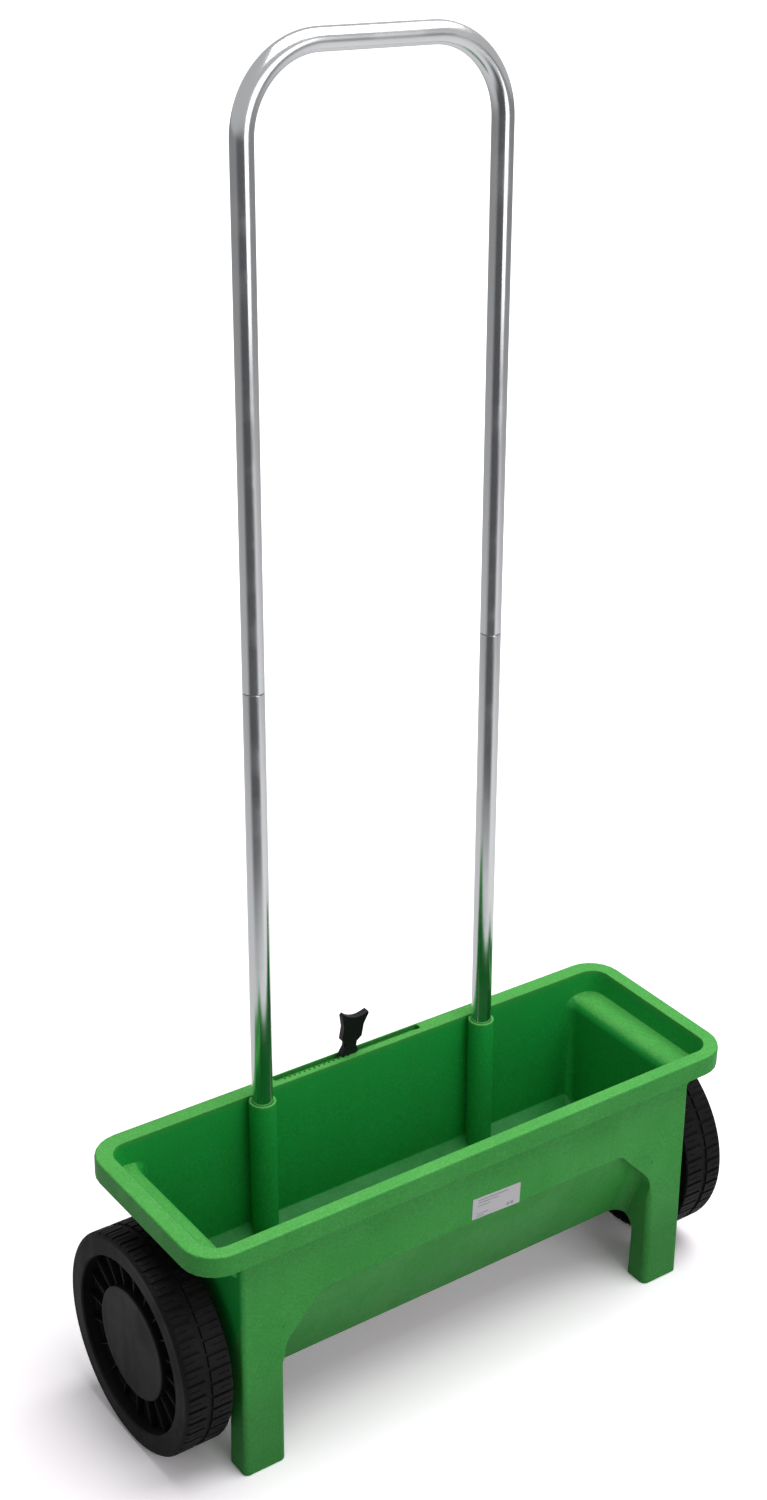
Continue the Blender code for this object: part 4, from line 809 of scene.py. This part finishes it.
@dataclass
class Palette:
    """The materials of the spreader."""

    effects: Effects = field(default_factory=Effects)

    def build(self) -> dict[str, bpy.types.Material]:
        """Makes each material once.

        Returns:
            The materials by the name of their finish.
        """
        finishes = (
            MouldedPlastic(
                "spreader_green", (0.038, 0.300, 0.047), (0.032, 0.275, 0.041), (0.10, 0.36, 0.11),
                (0.48, 0.58), scuff_amount=0.16, dust_amount=0.04, specular=0.30, mottle=0.18,
                # painted light: Rim is a lighter, whiter painted highlight; Inside, Slope and Foot are
                # painted shade
                painted_light_tints=(
                    ("Rim", (1.85, 1.24, 1.34)),
                    ("Inside", (0.20, 1.05, 0.96)),
                    ("Slope", (0.72, 0.74, 0.72)),
                    ("Foot", (0.74, 0.72, 0.74)),
                ),
            ),
            MouldedPlastic(
                "lever_black", (0.006, 0.006, 0.0065), (0.0045, 0.0045, 0.005), (0.04, 0.04, 0.04),
                (0.38, 0.5), specular=0.24,
            ),
            MouldedPlastic(
                "wheel_black", (0.0062, 0.0060, 0.0062), (0.0044, 0.0044, 0.0046), (0.028, 0.028, 0.027),
                (0.48, 0.60), pits_per_metre=1800.0, relief=0.00003, scuff_amount=0.3, dust_amount=0.06,
                specular=0.11, mottle=0.15,
            ),
            MouldedPlastic(
                "hub_cap_black", (0.0076, 0.0074, 0.0074), (0.0058, 0.0057, 0.0057), (0.035, 0.035, 0.035),
                (0.5, 0.6), dust_amount=0.05, specular=0.15, mottle=0.2,
            ),
            MouldedPlastic(
                "natural_plastic", (0.62, 0.62, 0.57), (0.53, 0.53, 0.48), (0.75, 0.75, 0.72), (0.38, 0.5)
            ),
            BrightTube("bright_plating", (0.71, 0.72, 0.74), (0.15, 0.23)),
            ZincSteel("zinc_steel"),
            LabelFilm(
                "label_paper", (0.54, 0.53, 0.56), (0.17, 0.165, 0.18), (0.0185, -0.0908, 0.178),
                math.radians(2.5),
            ),
        )
        return {finish.name: finish.material(self.effects) for finish in finishes}


# Pieces


def has_room(edge: bmesh.types.BMEdge, sharp: float, room: float) -> bool:
    """Whether an edge is sharp and its faces are wide enough beside it for a round.

    Args:
        edge: the edge.
        sharp: the angle in radians past which it counts as sharp.
        room: the least width of each face beside the edge, ends that carry on along it aside.
    Returns:
        True where a round fits.
    """
    if len(edge.link_faces) != 2 or edge.calc_face_angle(0.0) < sharp:
        return False
    along = (edge.verts[1].co - edge.verts[0].co).normalized()
    for corner in edge.link_loops:
        for beside in (corner.link_loop_prev.edge, corner.link_loop_next.edge):
            reach = beside.verts[1].co - beside.verts[0].co
            carries_on = abs(reach.normalized().dot(along)) > NEARLY_PARALLEL
            if not carries_on and reach.cross(along).length < room:
                return False
    return True


@dataclass
class Kit:
    """What every sub-assembly needs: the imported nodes, the materials and how edges are rounded.

    An edge past rounded_past gets a round of steps sides where the faces beside it are at least
    room times as wide as the round. Angles are in radians.
    """

    nodes: dict[str, bpy.types.Object]
    materials: dict[str, bpy.types.Material]
    room: float = 2.3
    rounded_past: float = math.radians(50.0)
    steps: int = 3
    merged_within: float = 2e-6
    flat_within: float = math.radians(0.6)
    sharp_past: float = math.radians(38.0)

    def place(self, obj: bpy.types.Object, body: Body, finish: Finish, *nodes: str) -> None:
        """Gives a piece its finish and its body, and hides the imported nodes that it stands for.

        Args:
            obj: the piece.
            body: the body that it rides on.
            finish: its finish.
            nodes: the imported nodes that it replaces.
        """
        name, slot = finish.value
        obj.data.materials.clear()
        obj.data.materials.append(self.materials[name])
        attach(obj, body.value)
        if nodes:
            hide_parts(*nodes)
        log.info("%s: %d faces on %s", obj.name, len(obj.data.polygons), body.value)

    def plate(self, node: str) -> None:
        """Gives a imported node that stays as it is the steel's material."""
        self.nodes[node].data.materials[0] = self.materials[Finish.STEEL.value[0]]
        log.info("%s: kept, plated", node)

    def softened(self, node: str, name: str, edge: float) -> bpy.types.Object:
        """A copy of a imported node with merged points, flat faces made whole and rounded edges.

        Args:
            node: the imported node.
            name: the new piece's name.
            edge: radius of the rounds, or 0 for none.
        Returns:
            The new object.
        """
        mesh = self.nodes[node].data.copy()
        mesh.name = name
        obj = added(name, mesh)
        if mesh.has_custom_normals:
            mesh.normals_split_custom_set([(0.0, 0.0, 0.0)] * len(mesh.loops))
        bm = bmesh.new()
        bm.from_mesh(mesh)
        bmesh.ops.remove_doubles(bm, verts=bm.verts, dist=self.merged_within)
        bmesh.ops.dissolve_limit(bm, angle_limit=self.flat_within, verts=bm.verts, edges=bm.edges)
        if edge:
            chosen = [item for item in bm.edges if has_room(item, self.rounded_past, self.room * edge)]
            bmesh.ops.bevel(
                bm, geom=chosen, offset=edge, segments=self.steps, profile=0.5,
                affect="EDGES", miter_outer="ARC",
            )
        bm.to_mesh(mesh)
        bm.free()
        mesh.shade_smooth()
        mesh.set_sharp_from_angle(angle=self.sharp_past)
        flat = obj.modifiers.new("flat_faces", "WEIGHTED_NORMAL")
        flat.keep_sharp = True
        flat.weight = 100
        obj.data = bpy.data.meshes.new_from_object(obj.evaluated_get(bpy.context.evaluated_depsgraph_get()))
        obj.modifiers.clear()
        return obj


@dataclass
class Trough:
    """The green moulding."""

    edge: float = 0.0008

    def build(self, kit: Kit) -> None:
        """Builds the moulding."""
        kit.place(kit.softened("hopper", "hopper_moulding", self.edge), Body.FRAME, Finish.GREEN, "hopper")


@dataclass
class TubeHandle:
    """The bow and the two lower tubes.

    Heights are counted along the tubes from the rim. Over the taper above its spigot the bow
    widens, steeply up to shoulder_share of it and less so over the shoulder that is left.
    """

    radius: float = 0.0095
    wall: float = 0.0008
    spacing: float = 0.247
    axis_y: float = 0.0757
    rim_top: float = 0.248
    lean: float = math.radians(2.0)
    joint: float = 0.3966
    top: float = 0.9123
    bend: float = 0.070
    bend_steps: int = 24
    spigot: float = 0.060
    taper: float = 0.0006
    shoulder: float = 0.0003
    shoulder_share: float = 0.55
    gap: float = 0.0003
    socket_depth: float = 0.1215
    rows_between: tuple[float, ...] = (-0.03, 0.0, 0.1)
    sides: int = 48
    end_round: float = 0.0004

    @property
    def up(self) -> np.ndarray:
        """The direction of the tubes."""
        return np.array((0.0, math.sin(self.lean), math.cos(self.lean)))

    @property
    def back(self) -> np.ndarray:
        """The direction square to the handle's plane."""
        return np.array((0.0, math.cos(self.lean), -math.sin(self.lean)))

    def at(self, x: np.ndarray, height: np.ndarray) -> np.ndarray:
        """Points of the handle's plane: (x, y of the axis, rim) + height up."""
        foot = np.stack((x, np.full_like(x, self.axis_y), np.full_like(x, self.rim_top)), axis=1)
        return foot + height[:, None] * self.up

    def stem(self) -> np.ndarray:
        """The bow's outside from the spigot's end to above the joint.

        Returns:
            (height, radius) rows.
        """
        low, seat, taper = self.joint - self.spigot, self.joint + self.gap, self.taper
        neck = self.radius - self.wall - self.gap
        return np.array((
            (low, neck - self.end_round),
            (low + self.end_round, neck),
            (seat, neck),
            (seat + taper * self.shoulder_share, self.radius - self.shoulder),
            (seat + taper, self.radius),
            (seat + 2 * taper, self.radius),
        ))

    def bow(self) -> Patch:
        """The bow's wall.

        Returns:
            A patch that runs outside from one spigot to the other and back inside.
        """
        half = self.spacing / 2
        stem = self.stem()
        angle = np.linspace(0.0, np.pi / 2, self.bend_steps + 1)
        bend_height = self.top - self.bend + self.bend * np.sin(angle)
        x = np.concatenate((np.full(len(stem), -half), -half + self.bend * (1 - np.cos(angle))))
        height = np.concatenate((stem[:, 0], bend_height))
        radius = np.concatenate((stem[:, 1], np.full(len(angle), self.radius)))
        turn = np.concatenate((np.zeros(len(stem)), angle))
        sideways = np.stack((np.cos(turn), np.zeros_like(turn), np.zeros_like(turn)), axis=1)
        sideways -= np.sin(turn)[:, None] * self.up
        mirror = sideways[::-1] * np.array((-1.0, 1.0, 1.0))
        path = np.concatenate((self.at(x, height), self.at(-x[::-1], height[::-1])))
        across = np.concatenate((sideways, mirror))
        outside = np.concatenate((radius, radius[::-1]))
        inside = outside[::-1] - self.wall
        there_and_back = (np.concatenate((rows, rows[::-1])) for rows in (path, across))
        return swept(*there_and_back, self.back, np.concatenate((outside, inside)), self.sides)

    def lower(self, side: Side) -> Patch:
        """A lower tube's wall, with a softened upper edge.

        Args:
            side: the tube's end of the spreader.
        Returns:
            A patch that runs up outside and down inside.
        """
        r, inner, e = self.radius, self.radius - self.wall, self.end_round
        outside = [(height, r) for height in (-self.socket_depth, *self.rows_between, self.joint - 2 * e)]
        edge = [(self.joint - 0.3 * e, r - 0.3 * e), (self.joint, r - e), (self.joint, inner + 0.2 * e)]
        inside = [(self.joint - e, inner), (-self.socket_depth, inner)]
        height, radius = np.array(outside + edge + inside).T
        x = np.full(len(height), side.value * self.spacing / 2)
        across = np.tile(np.array((1.0, 0.0, 0.0)), (len(height), 1))
        return swept(self.at(x, height), across, self.back, radius, self.sides)

    def build(self, kit: Kit) -> None:
        """Builds the bow and the lower tubes.

        Args:
            kit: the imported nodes, the materials and the rounding.
        """
        kit.place(mesh_of("bow_tube", [self.bow()]), Body.FRAME, Finish.TUBE, "handle_bow")
        for side in Side:
            obj = mesh_of(f"lower_tube_{side.word}", [self.lower(side)])
            kit.place(obj, Body.FRAME, Finish.TUBE, f"handle_tube_{side.word}")


def nearest(corners: tuple[Vector, Vector]) -> float:
    """The least |x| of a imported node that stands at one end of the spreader."""
    return min(abs(corners[0][0]), abs(corners[1][0]))


@dataclass
class Wheel:
    """A moulded wheel with a grooved tread, a ribbed recess and a hub.

    The tread has periods cuts in each of its two rows and a sipe between them. tread_rows says
    where its grid lines lie across it beside the groove, close together at the ends of a sipe.
    """

    radius: float = 0.1015
    width: float = 0.045
    boss: float = 0.0012
    centre_y: float = 0.006
    periods: int = 48
    first_turn: float = 0.25
    cut_width: float = 0.0026
    cut_depth: float = 0.0018
    sipe_width: float = 0.0009
    sipe_depth: float = 0.0008
    sipe_centre: float = 0.0145
    sipe_reach: float = 0.0050
    wall: float = 0.0003
    groove_width: float = 0.005
    tread_rows: tuple[tuple[float, ...], tuple[float, ...]] = (
        (0.0028, 0.0031, 0.0080, 0.0129, 0.0132),
        (0.0318, 0.0321, 0.0360),
    )
    inner_round: float = 0.0014
    shoulder: float = 0.0052
    face_set_back: float = 0.0004
    lip: float = 0.0022
    recess_radius: float = 0.081
    recess_depth: float = 0.014
    drum_radius: float = 0.0515
    drum_set_back: float = 0.0075
    hub_radius: float = 0.015
    hub_length: float = 0.0355
    bore: float = 0.0053
    skin: float = 0.0035
    web: float = 0.003
    ribs: int = 20
    rib_height: float = 0.006
    rib_half: float = 0.0009
    rib_round: float = 0.0007
    rib_sunk: float = 0.001

    @property
    def pitch(self) -> float:
        """The length of one period round the tread."""
        return 2 * np.pi * self.radius / self.periods

    def tread_angles(self) -> np.ndarray:
        """Angles of the grid lines round the wheel, close together at each groove's walls.

        Returns:
            The angles in turns.
        """
        lines = [np.array((0.25, 0.75))]
        for centre in (0.0, 0.5):
            for half in (self.cut_width / 2, self.sipe_width / 2):
                edges = np.array((-half - self.wall, -half, half, half + self.wall)) / self.pitch
                lines.append(centre + edges)
        single = np.unique(np.round(np.mod(np.concatenate(lines), 1.0), 6))
        return (single[None] + np.arange(self.periods)[:, None]).ravel() / self.periods

    def groove(self, distance: np.ndarray, half: float) -> np.ndarray:
        """1 inside a groove and 0 outside, with a short slope: clip((half + wall - |d|) / wall)."""
        return np.clip((half + self.wall - np.abs(distance)) / self.wall, 0.0, 1.0)

    def relief(self, turns: np.ndarray, across: np.ndarray) -> np.ndarray:
        """How deep the tread is cut.

        The deepest of three patterns counts: a groove round the middle, cuts that alternate
        between the two rows, and a short fine sipe in the middle of each block.

        Args:
            turns: the angle of each grid line round the wheel, in turns.
            across: the distance of each grid line from the inner face.
        Returns:
            The depth at each angle and each place across.
        """
        middle = self.width / 2
        ring = self.groove(across - middle, self.groove_width / 2) * self.cut_depth
        deep = np.broadcast_to(ring[None], (len(turns), len(across))).copy()
        phase = turns * self.periods
        reach = self.groove(np.abs(across - middle) - self.sipe_centre, self.sipe_reach)
        for row, shift in ((across < middle, 0.0), (across > middle, 0.5)):
            for turn, half, share, depth in (
                (shift, self.cut_width / 2, 1.0, self.cut_depth),
                (shift + 0.5, self.sipe_width / 2, reach, self.sipe_depth),
            ):
                offset = (np.mod(phase - turn + 0.5, 1.0) - 0.5) * self.pitch
                cut = self.groove(offset, half)[:, None] * (row * share)[None] * depth
                deep = np.maximum(deep, cut)
        return deep

    def tread(self) -> np.ndarray:
        """The tread's part of the section, before its relief.

        Returns:
            (distance from the inner face, radius) rows from the inner edge to the outer one.
        """
        w, r, middle, half = self.width, self.radius, self.width / 2, self.groove_width / 2
        walls = (middle - half - self.wall, middle - half, middle + half, middle + half + self.wall)
        inner, outer = self.tread_rows
        across = (self.inner_round, *inner, *walls, *outer, w - self.shoulder)
        return np.concatenate((
            arc((self.inner_round, r - self.inner_round), self.inner_round, 180.0, 90.0, 4)[:-1],
            np.array([(x, r) for x in across]),
            arc((w - self.shoulder, r - self.shoulder), self.shoulder, 90.0, 8.0, 6)[1:],
        ))

    def outer_face(self) -> np.ndarray:
        """The section's part on the outer face.

        Returns:
            (distance from the inner face, radius) rows from below the tread to the recess.
        """
        w, r, recess = self.width, self.radius, self.recess_radius
        slope = (w - self.face_set_back, r - 0.0065, 0.0)
        face = filleted([slope, (w, recess + 0.0085, 0.004), (w, recess + 0.0023, 0.0)], 5)
        return np.concatenate((face, arc((w - self.lip, recess + self.lip), self.lip, 0.0, -90.0, 6)))

    def inner_shape(self) -> np.ndarray:
        """The section's part over the recess, the drum, the hub and the bore.

        Returns:
            (distance from the inner face, radius) rows from the recess to the inner face.
        """
        w, r, web, recess, drum = self.width, self.radius, self.web, self.recess_radius, self.drum_radius
        web_front, drum_front = w - self.recess_depth, w - self.drum_set_back
        web_back, ring = web_front - web, recess + self.skin
        corners = [
            (w, recess + 0.002, 0.0),
            (web_front, recess, 0.0016),
            (web_front, drum, 0.0016),
            (drum_front, drum, 0.0006),
            (drum_front, drum - web, 0.0006),
            (web_front, drum - web, 0.001),
            (web_front, self.hub_radius, 0.001),
            (self.hub_length, self.hub_radius, 0.0006),
            (self.hub_length, self.bore, 0.0003),
            (-self.boss, self.bore, 0.0003),
            (-self.boss, self.hub_radius, 0.0006),
            (web_back, self.hub_radius, 0.0015),
            (web_back, ring, 0.0015),
            (w - web, ring, 0.001),
            (w - web, r - self.skin, 0.001),
            (0.0, r - self.skin, 0.0005),
            (0.0, r - 0.002, 0.0),
        ]
        return filleted(corners, 4)[1:-1]

    def body(self) -> Patch:
        """The wheel about the origin: (x, r cos a, r sin a), with the tread's relief taken from r.

        Returns:
            A patch with its rows round the wheel and its columns along the section.
        """
        tread = self.tread()
        rows = np.concatenate((tread, self.outer_face(), self.inner_shape()))
        turns = self.tread_angles()
        deep = self.relief(turns, rows[:, 0]) * (np.arange(len(rows)) < len(tread))[None]
        deep = np.minimum(deep, np.maximum(rows[:, 1] - (self.radius - self.cut_depth), 0.0)[None])
        angle = 2 * np.pi * (turns + self.first_turn / self.periods) + np.pi / 2
        radius = rows[None, :, 1] - deep
        x = np.broadcast_to(rows[None, :, 0], radius.shape)
        points = np.stack((x, radius * np.cos(angle)[:, None], radius * np.sin(angle)[:, None]), axis=2)
        return Patch(points, rows_closed=True)

    def rib_patches(self) -> list[Patch]:
        """Rounded radial ribs on the web: a D-shaped section from the drum to the ring.

        Returns:
            A patch for each rib.
        """
        front, half = self.width - self.recess_depth, self.rib_half
        low, high = self.drum_radius - self.web / 2, self.recess_radius + self.skin / 2
        foot, top = front - self.rib_sunk, front + self.rib_height
        across = np.array((-half, -half, -half * 0.6, half * 0.6, half, half))
        along = np.array((foot, top - self.rib_round, top, top, top - self.rib_round, foot))
        patches = []
        for turn in 2 * np.pi * np.arange(self.ribs) / self.ribs:
            radial = np.array((0.0, -math.sin(turn), math.cos(turn)))
            side = np.array((0.0, math.cos(turn), math.sin(turn)))
            ring = along[:, None] * np.array((1.0, 0.0, 0.0)) + across[:, None] * side
            reach = np.array((low, high))[:, None, None] * radial
            patches.append(Patch(ring[None] + reach, caps=True))
        return patches

    def placed(self, patch: Patch, side: Side, inner_x: float) -> Patch:
        """Moves a patch to its end of the axle, half a turn round Z for the left end.

        Args:
            patch: a patch about the origin.
            side: the wheel's end of the axle.
            inner_x: how far the wheel's inner face lies from the middle.
        Returns:
            The patch.
        """
        patch.points = patch.points + np.array((inner_x, 0.0, 0.0))
        patch.points = patch.points * np.array((side.value, side.value, 1.0))
        patch.points = patch.points + np.array((0.0, self.centre_y, self.radius))
        return patch

    def build(self, kit: Kit) -> None:
        """Builds both wheels.

        Args:
            kit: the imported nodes, the materials and the rounding.
        """
        for side in Side:
            inner_x = nearest(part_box(f"wheel_{side.word}")) + self.boss
            patches = [self.placed(patch, side, inner_x) for patch in [self.body()] + self.rib_patches()]
            obj = mesh_of(f"tyre_{side.word}", patches)
            kit.place(obj, side.wheel_body, Finish.WHEEL, f"wheel_{side.word}")


@dataclass
class HubCap:
    """The smooth disc that closes a hub, very slightly dished."""

    radius: float = 0.052
    thickness: float = 0.0032
    dish: float = 0.0004
    flat_radius: float = 0.044
    edge: float = 0.0012
    plug: float = 0.0482
    plug_wall: float = 0.003
    plug_taper: float = 0.0003
    plug_foot: float = 0.0005
    centre_y: float = 0.006
    centre_z: float = 0.1015
    sides: int = 96

    def profile(self) -> np.ndarray:
        """The cap's section from the middle of its face over the rim and the plug to its back.

        Returns:
            (distance in front of the rim, radius) rows.
        """
        r, t, wall = self.radius, self.thickness, self.plug - self.plug_wall
        face = [(-self.dish, distance) for distance in np.linspace(0.0, self.flat_radius, 6)]
        rim = [(-self.dish / 2, r - 0.0052), (0.0, r - 0.0040)]
        edge = arc((-self.edge, r - self.edge), self.edge, 0.0, 90.0, 5)
        outside = [(-t, r), (-t, self.plug), (-2 * t, self.plug - self.plug_taper)]
        inside = [(-2 * t, wall), (-t, wall - self.plug_foot), (-t, 0.0)]
        return np.concatenate((np.array(face + rim), edge, np.array(outside + inside)))

    def build(self, kit: Kit) -> None:
        """Builds both caps.

        Args:
            kit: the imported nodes, the materials and the rounding.
        """
        for side in Side:
            profile = self.profile()
            outer_x = nearest(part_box(f"hub_cap_{side.word}")) + 2 * self.thickness
            profile[:, 0] = side.value * (profile[:, 0] + outer_x)
            patch = turned(profile, self.sides, (0.0, self.centre_y, self.centre_z))
            obj = mesh_of(f"hub_disc_{side.word}", [patch])
            kit.place(obj, side.wheel_body, Finish.CAP, f"hub_cap_{side.word}")


@dataclass
class Fittings:
    """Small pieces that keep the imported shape: some softened, the others only plated.

    softened holds each piece's node, body, finish and radius of its rounds.
    """

    softened: tuple[tuple[str, Body, Finish, float], ...] = (
        ("metering_lever", Body.LEVER, Finish.LEVER, 0.0007),
        ("metering_slide", Body.SHUTTER, Finish.PALE, 0.0003),
        ("guide_strip_front", Body.FRAME, Finish.PALE, 0.0004),
        ("guide_strip_rear_left", Body.FRAME, Finish.PALE, 0.0004),
        ("guide_strip_rear_right", Body.FRAME, Finish.PALE, 0.0004),
        ("agitator_left", Body.AXLE, Finish.PALE, 0.0004),
        ("agitator_right", Body.AXLE, Finish.PALE, 0.0004),
        ("axle_bush_left", Body.FRAME, Finish.PALE, 0.0002),
        ("axle_bush_right", Body.FRAME, Finish.PALE, 0.0002),
        ("axle", Body.AXLE, Finish.STEEL, 0.0002),
        ("lever_keeper", Body.FRAME, Finish.STEEL, 0.0003),
        ("rating_label", Body.FRAME, Finish.FILM, 0.0),
    )
    paired: tuple[str, ...] = (
        "wheel_washer", "axle_clip", "agitator_pin", "socket_screw", "joint_rivet", "keeper_screw",
    )
    front_screws: int = 3
    rear_screws: int = 4

    def plated(self) -> list[str]:
        """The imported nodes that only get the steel's material.

        Returns:
            Their names.
        """
        nodes = [f"{node}_{side.word}" for node in self.paired for side in Side]
        nodes += [f"guide_screw_front_{number + 1}" for number in range(self.front_screws)]
        nodes += [f"guide_screw_rear_{number + 1}" for number in range(self.rear_screws)]
        return nodes + ["drive_pin"]

    def build(self, kit: Kit) -> None:
        """Builds each softened piece and plates the others.

        Args:
            kit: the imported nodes, the materials and the rounding.
        """
        for node, body, finish, edge in self.softened:
            kit.place(kit.softened(node, f"{node}_piece", edge), body, finish, node)
        for node in self.plated():
            kit.plate(node)


# Studio


@dataclass(frozen=True)
class Lamp:
    """A square soft lamp aimed at a point."""

    name: str
    place: Point
    target: Point
    size: float
    watts: float

    def build(self) -> None:
        """Adds the lamp."""
        data = bpy.data.lights.new(self.name, "AREA")
        data.shape = "SQUARE"
        data.size = self.size
        data.energy = self.watts
        aim = Vector(self.target) - Vector(self.place)
        turned_to = aim.to_track_quat("-Z", "Y").to_matrix().to_4x4()
        added(self.name, data).matrix_world = Matrix.Translation(Vector(self.place)) @ turned_to


@dataclass(frozen=True)
class Floor:
    """A wide pale sheet that keeps the object's shadow and reads white further out.

    Its level differs by the kind of ray that meets it. For rays mirrored by a piece, a sector of the
    sheet round the direction dark_azimuth shows dark: a painted dark reflection in the tubes.
    """

    half: float = 30.0
    below: float = 0.0002
    seen: float = 1.28
    gloss: float = 0.75
    bounce: float = 0.4
    tint: float = 0.035
    fibres_per_metre: float = 300.0
    white_from: Pair = (0.45, 2.2)
    dark_azimuth: float = math.radians(-33.0)
    dark_share: Pair = (0.45, 0.88)
    dark_distance: Pair = (0.55, 1.55)
    dark: Colour = (0.10, 0.10, 0.105)

    def tone(self, coat: Coat, place: Socket, camera: Socket, glossy: Socket) -> Socket:
        """The sheet's colour for each kind of ray.

        Args:
            coat: the material's graph.
            place: the point on the sheet.
            camera: 1 for a ray from the camera.
            glossy: 1 for a ray mirrored by a piece.
        Returns:
            The colour.
        """
        seen = coat.product(camera, self.seen - self.bounce)
        gloss = coat.product(glossy, self.gloss - self.bounce)
        fibres = coat.span(coat.noise(place, self.fibres_per_metre), 0.3, 0.7, 0.99, 1.0)
        level = coat.product(coat.chain("ADD", seen, gloss, self.bounce), fibres)
        # painted against light: camera rays see the sheet a little less green, cancelling green light bounced
        # off the trough into its shadow
        tint = coat.math("SUBTRACT", 1.0, coat.product(camera, self.tint))
        return coat.colour(level, coat.product(level, tint), level)

    def material(self) -> bpy.types.Material:
        """Builds the material.

        Returns:
            A new material.
        """
        coat = Coat("floor_paper", {"Roughness": 0.9, "Specular IOR Level": 0.0})
        place, path = coat.place(), coat.add("LightPath").outputs
        camera, glossy = path["Is Camera Ray"], path["Is Glossy Ray"]
        x, y, _ = coat.parts(place)
        squares = coat.math("ADD", coat.math("POWER", x, 2.0), coat.math("POWER", y, 2.0))
        distance = coat.math("POWER", squares, 0.5)
        coat.fill(coat.shader.inputs["Base Color"], self.tone(coat, place, camera, glossy))
        lift = coat.product(coat.span(distance, *self.white_from), camera)
        white = coat.add("Emission", {"Color": rgba(WHITE), "Strength": lift})
        # painted dark reflection: a dark sector of the sheet, seen only by rays mirrored by a piece
        along_x = coat.product(x, math.sin(self.dark_azimuth))
        along_y = coat.product(y, -math.cos(self.dark_azimuth))
        share = coat.math("DIVIDE", coat.math("ADD", along_x, along_y), coat.math("MAXIMUM", distance, 0.001))
        near = coat.span(distance, *self.dark_distance)
        sector = coat.product(coat.span(share, *self.dark_share), near, glossy)
        room = coat.add("Emission", {"Color": rgba(self.dark), "Strength": 1.0})
        both = coat.add("AddShader", {0: coat.shader.outputs[0], 1: white.outputs[0]})
        found = coat.add("MixShader", {0: sector, 1: both.outputs[0], 2: room.outputs[0]})
        coat.fill(coat.tree.nodes["Material Output"].inputs["Surface"], found.outputs[0])
        return coat.made

    def build(self) -> None:
        """Adds the sheet."""
        half = self.half
        mesh = bpy.data.meshes.new("floor")
        corners = [(-half, -half, 0.0), (half, -half, 0.0), (half, half, 0.0), (-half, half, 0.0)]
        mesh.from_pydata(corners, [], [(0, 1, 2, 3)])
        mesh.materials.append(self.material())
        obj = added("floor", mesh)
        obj.location.z = -self.below


@dataclass(frozen=True)
class Camera:
    """The photograph's camera: its lens in pixels, its viewing angle and its place."""

    focal: float = 2271.6
    centre: Pair = (532.5, 768.9)
    frame_size: Pair = (767.0, 1500.0)
    azimuth: float = math.radians(-39.74)
    elevation: float = math.radians(26.05)
    roll: float = math.radians(3.33)
    place: Point = (-1.0382, -1.3773, 1.4259)
    sensor: float = 36.0
    clip: Pair = (0.05, 100.0)

    def directions(self) -> tuple[Vector, Vector, Vector]:
        """Which way the camera is turned.

        Returns:
            Its right, up and backward directions.
        """
        back = Vector((
            math.sin(self.azimuth) * math.cos(self.elevation),
            -math.cos(self.azimuth) * math.cos(self.elevation),
            math.sin(self.elevation),
        ))
        right = (-back).cross(Vector((0.0, 0.0, 1.0))).normalized()
        up = right.cross(-back)
        turned_right = right * math.cos(self.roll) + up * math.sin(self.roll)
        turned_up = up * math.cos(self.roll) - right * math.sin(self.roll)
        return turned_right, turned_up, back

    def build(self) -> None:
        """Adds the camera and looks through it."""
        width, height = self.frame_size
        data = bpy.data.cameras.new("camera")
        data.sensor_width = self.sensor
        data.lens = self.focal / height * self.sensor
        data.shift_x = (width / 2 - self.centre[0]) / height
        data.shift_y = (self.centre[1] - height / 2) / height
        data.clip_start, data.clip_end = self.clip
        matrix = Matrix(self.directions()).transposed().to_4x4()
        matrix.translation = Vector(self.place)
        obj = added("camera", data)
        obj.matrix_world = matrix
        bpy.context.scene.camera = obj


@dataclass(frozen=True)
class Surround:
    """An even pale world that lights softly and shows white to the camera and in metal."""

    lit: float = 0.36
    seen: float = 0.64
    gloss: float = 0.2

    def build(self) -> None:
        """Sets the world."""
        world = bpy.data.worlds.new("studio")
        bpy.context.scene.world = world
        world.use_nodes = True
        graph = Graph(world.node_tree)
        path = graph.add("LightPath").outputs
        direct = graph.math("MAXIMUM", path["Is Camera Ray"], path["Is Transmission Ray"])
        gloss = graph.product(path["Is Glossy Ray"], self.gloss)
        background = graph.tree.nodes["Background"].inputs
        strength = graph.chain("ADD", self.lit, graph.product(direct, self.seen), gloss)
        graph.fill(background["Strength"], strength)
        graph.fill(background["Color"], rgba(WHITE))


@dataclass
class Studio:
    """The camera, the floor, the surround and the soft lamps."""

    above: Lamp = Lamp("lamp_above", (0.50, -0.12, 2.7), (0.0, 0.0, 0.2), 2.2, 66.0)
    front: Lamp = Lamp("lamp_front", (0.5, -2.6, 1.15), (0.0, 0.0, 0.25), 1.8, 22.0)

    def build(self) -> None:
        """Sets up everything round the object."""
        bpy.context.scene.view_settings.view_transform = "Standard"
        for item in (Camera(), Floor(), Surround(), self.above, self.front):
            item.build()


def main() -> None:
    """Builds the spreader's looks in order."""
    logging.basicConfig(level=logging.INFO, format="%(name)s %(message)s")
    kit = Kit(frame["nodes"], Palette().build())
    for assembly in (Trough(), TubeHandle(), Wheel(), HubCap(), Fittings()):
        assembly.build(kit)
    Studio().build()


if __name__ == "__main__":
    main()
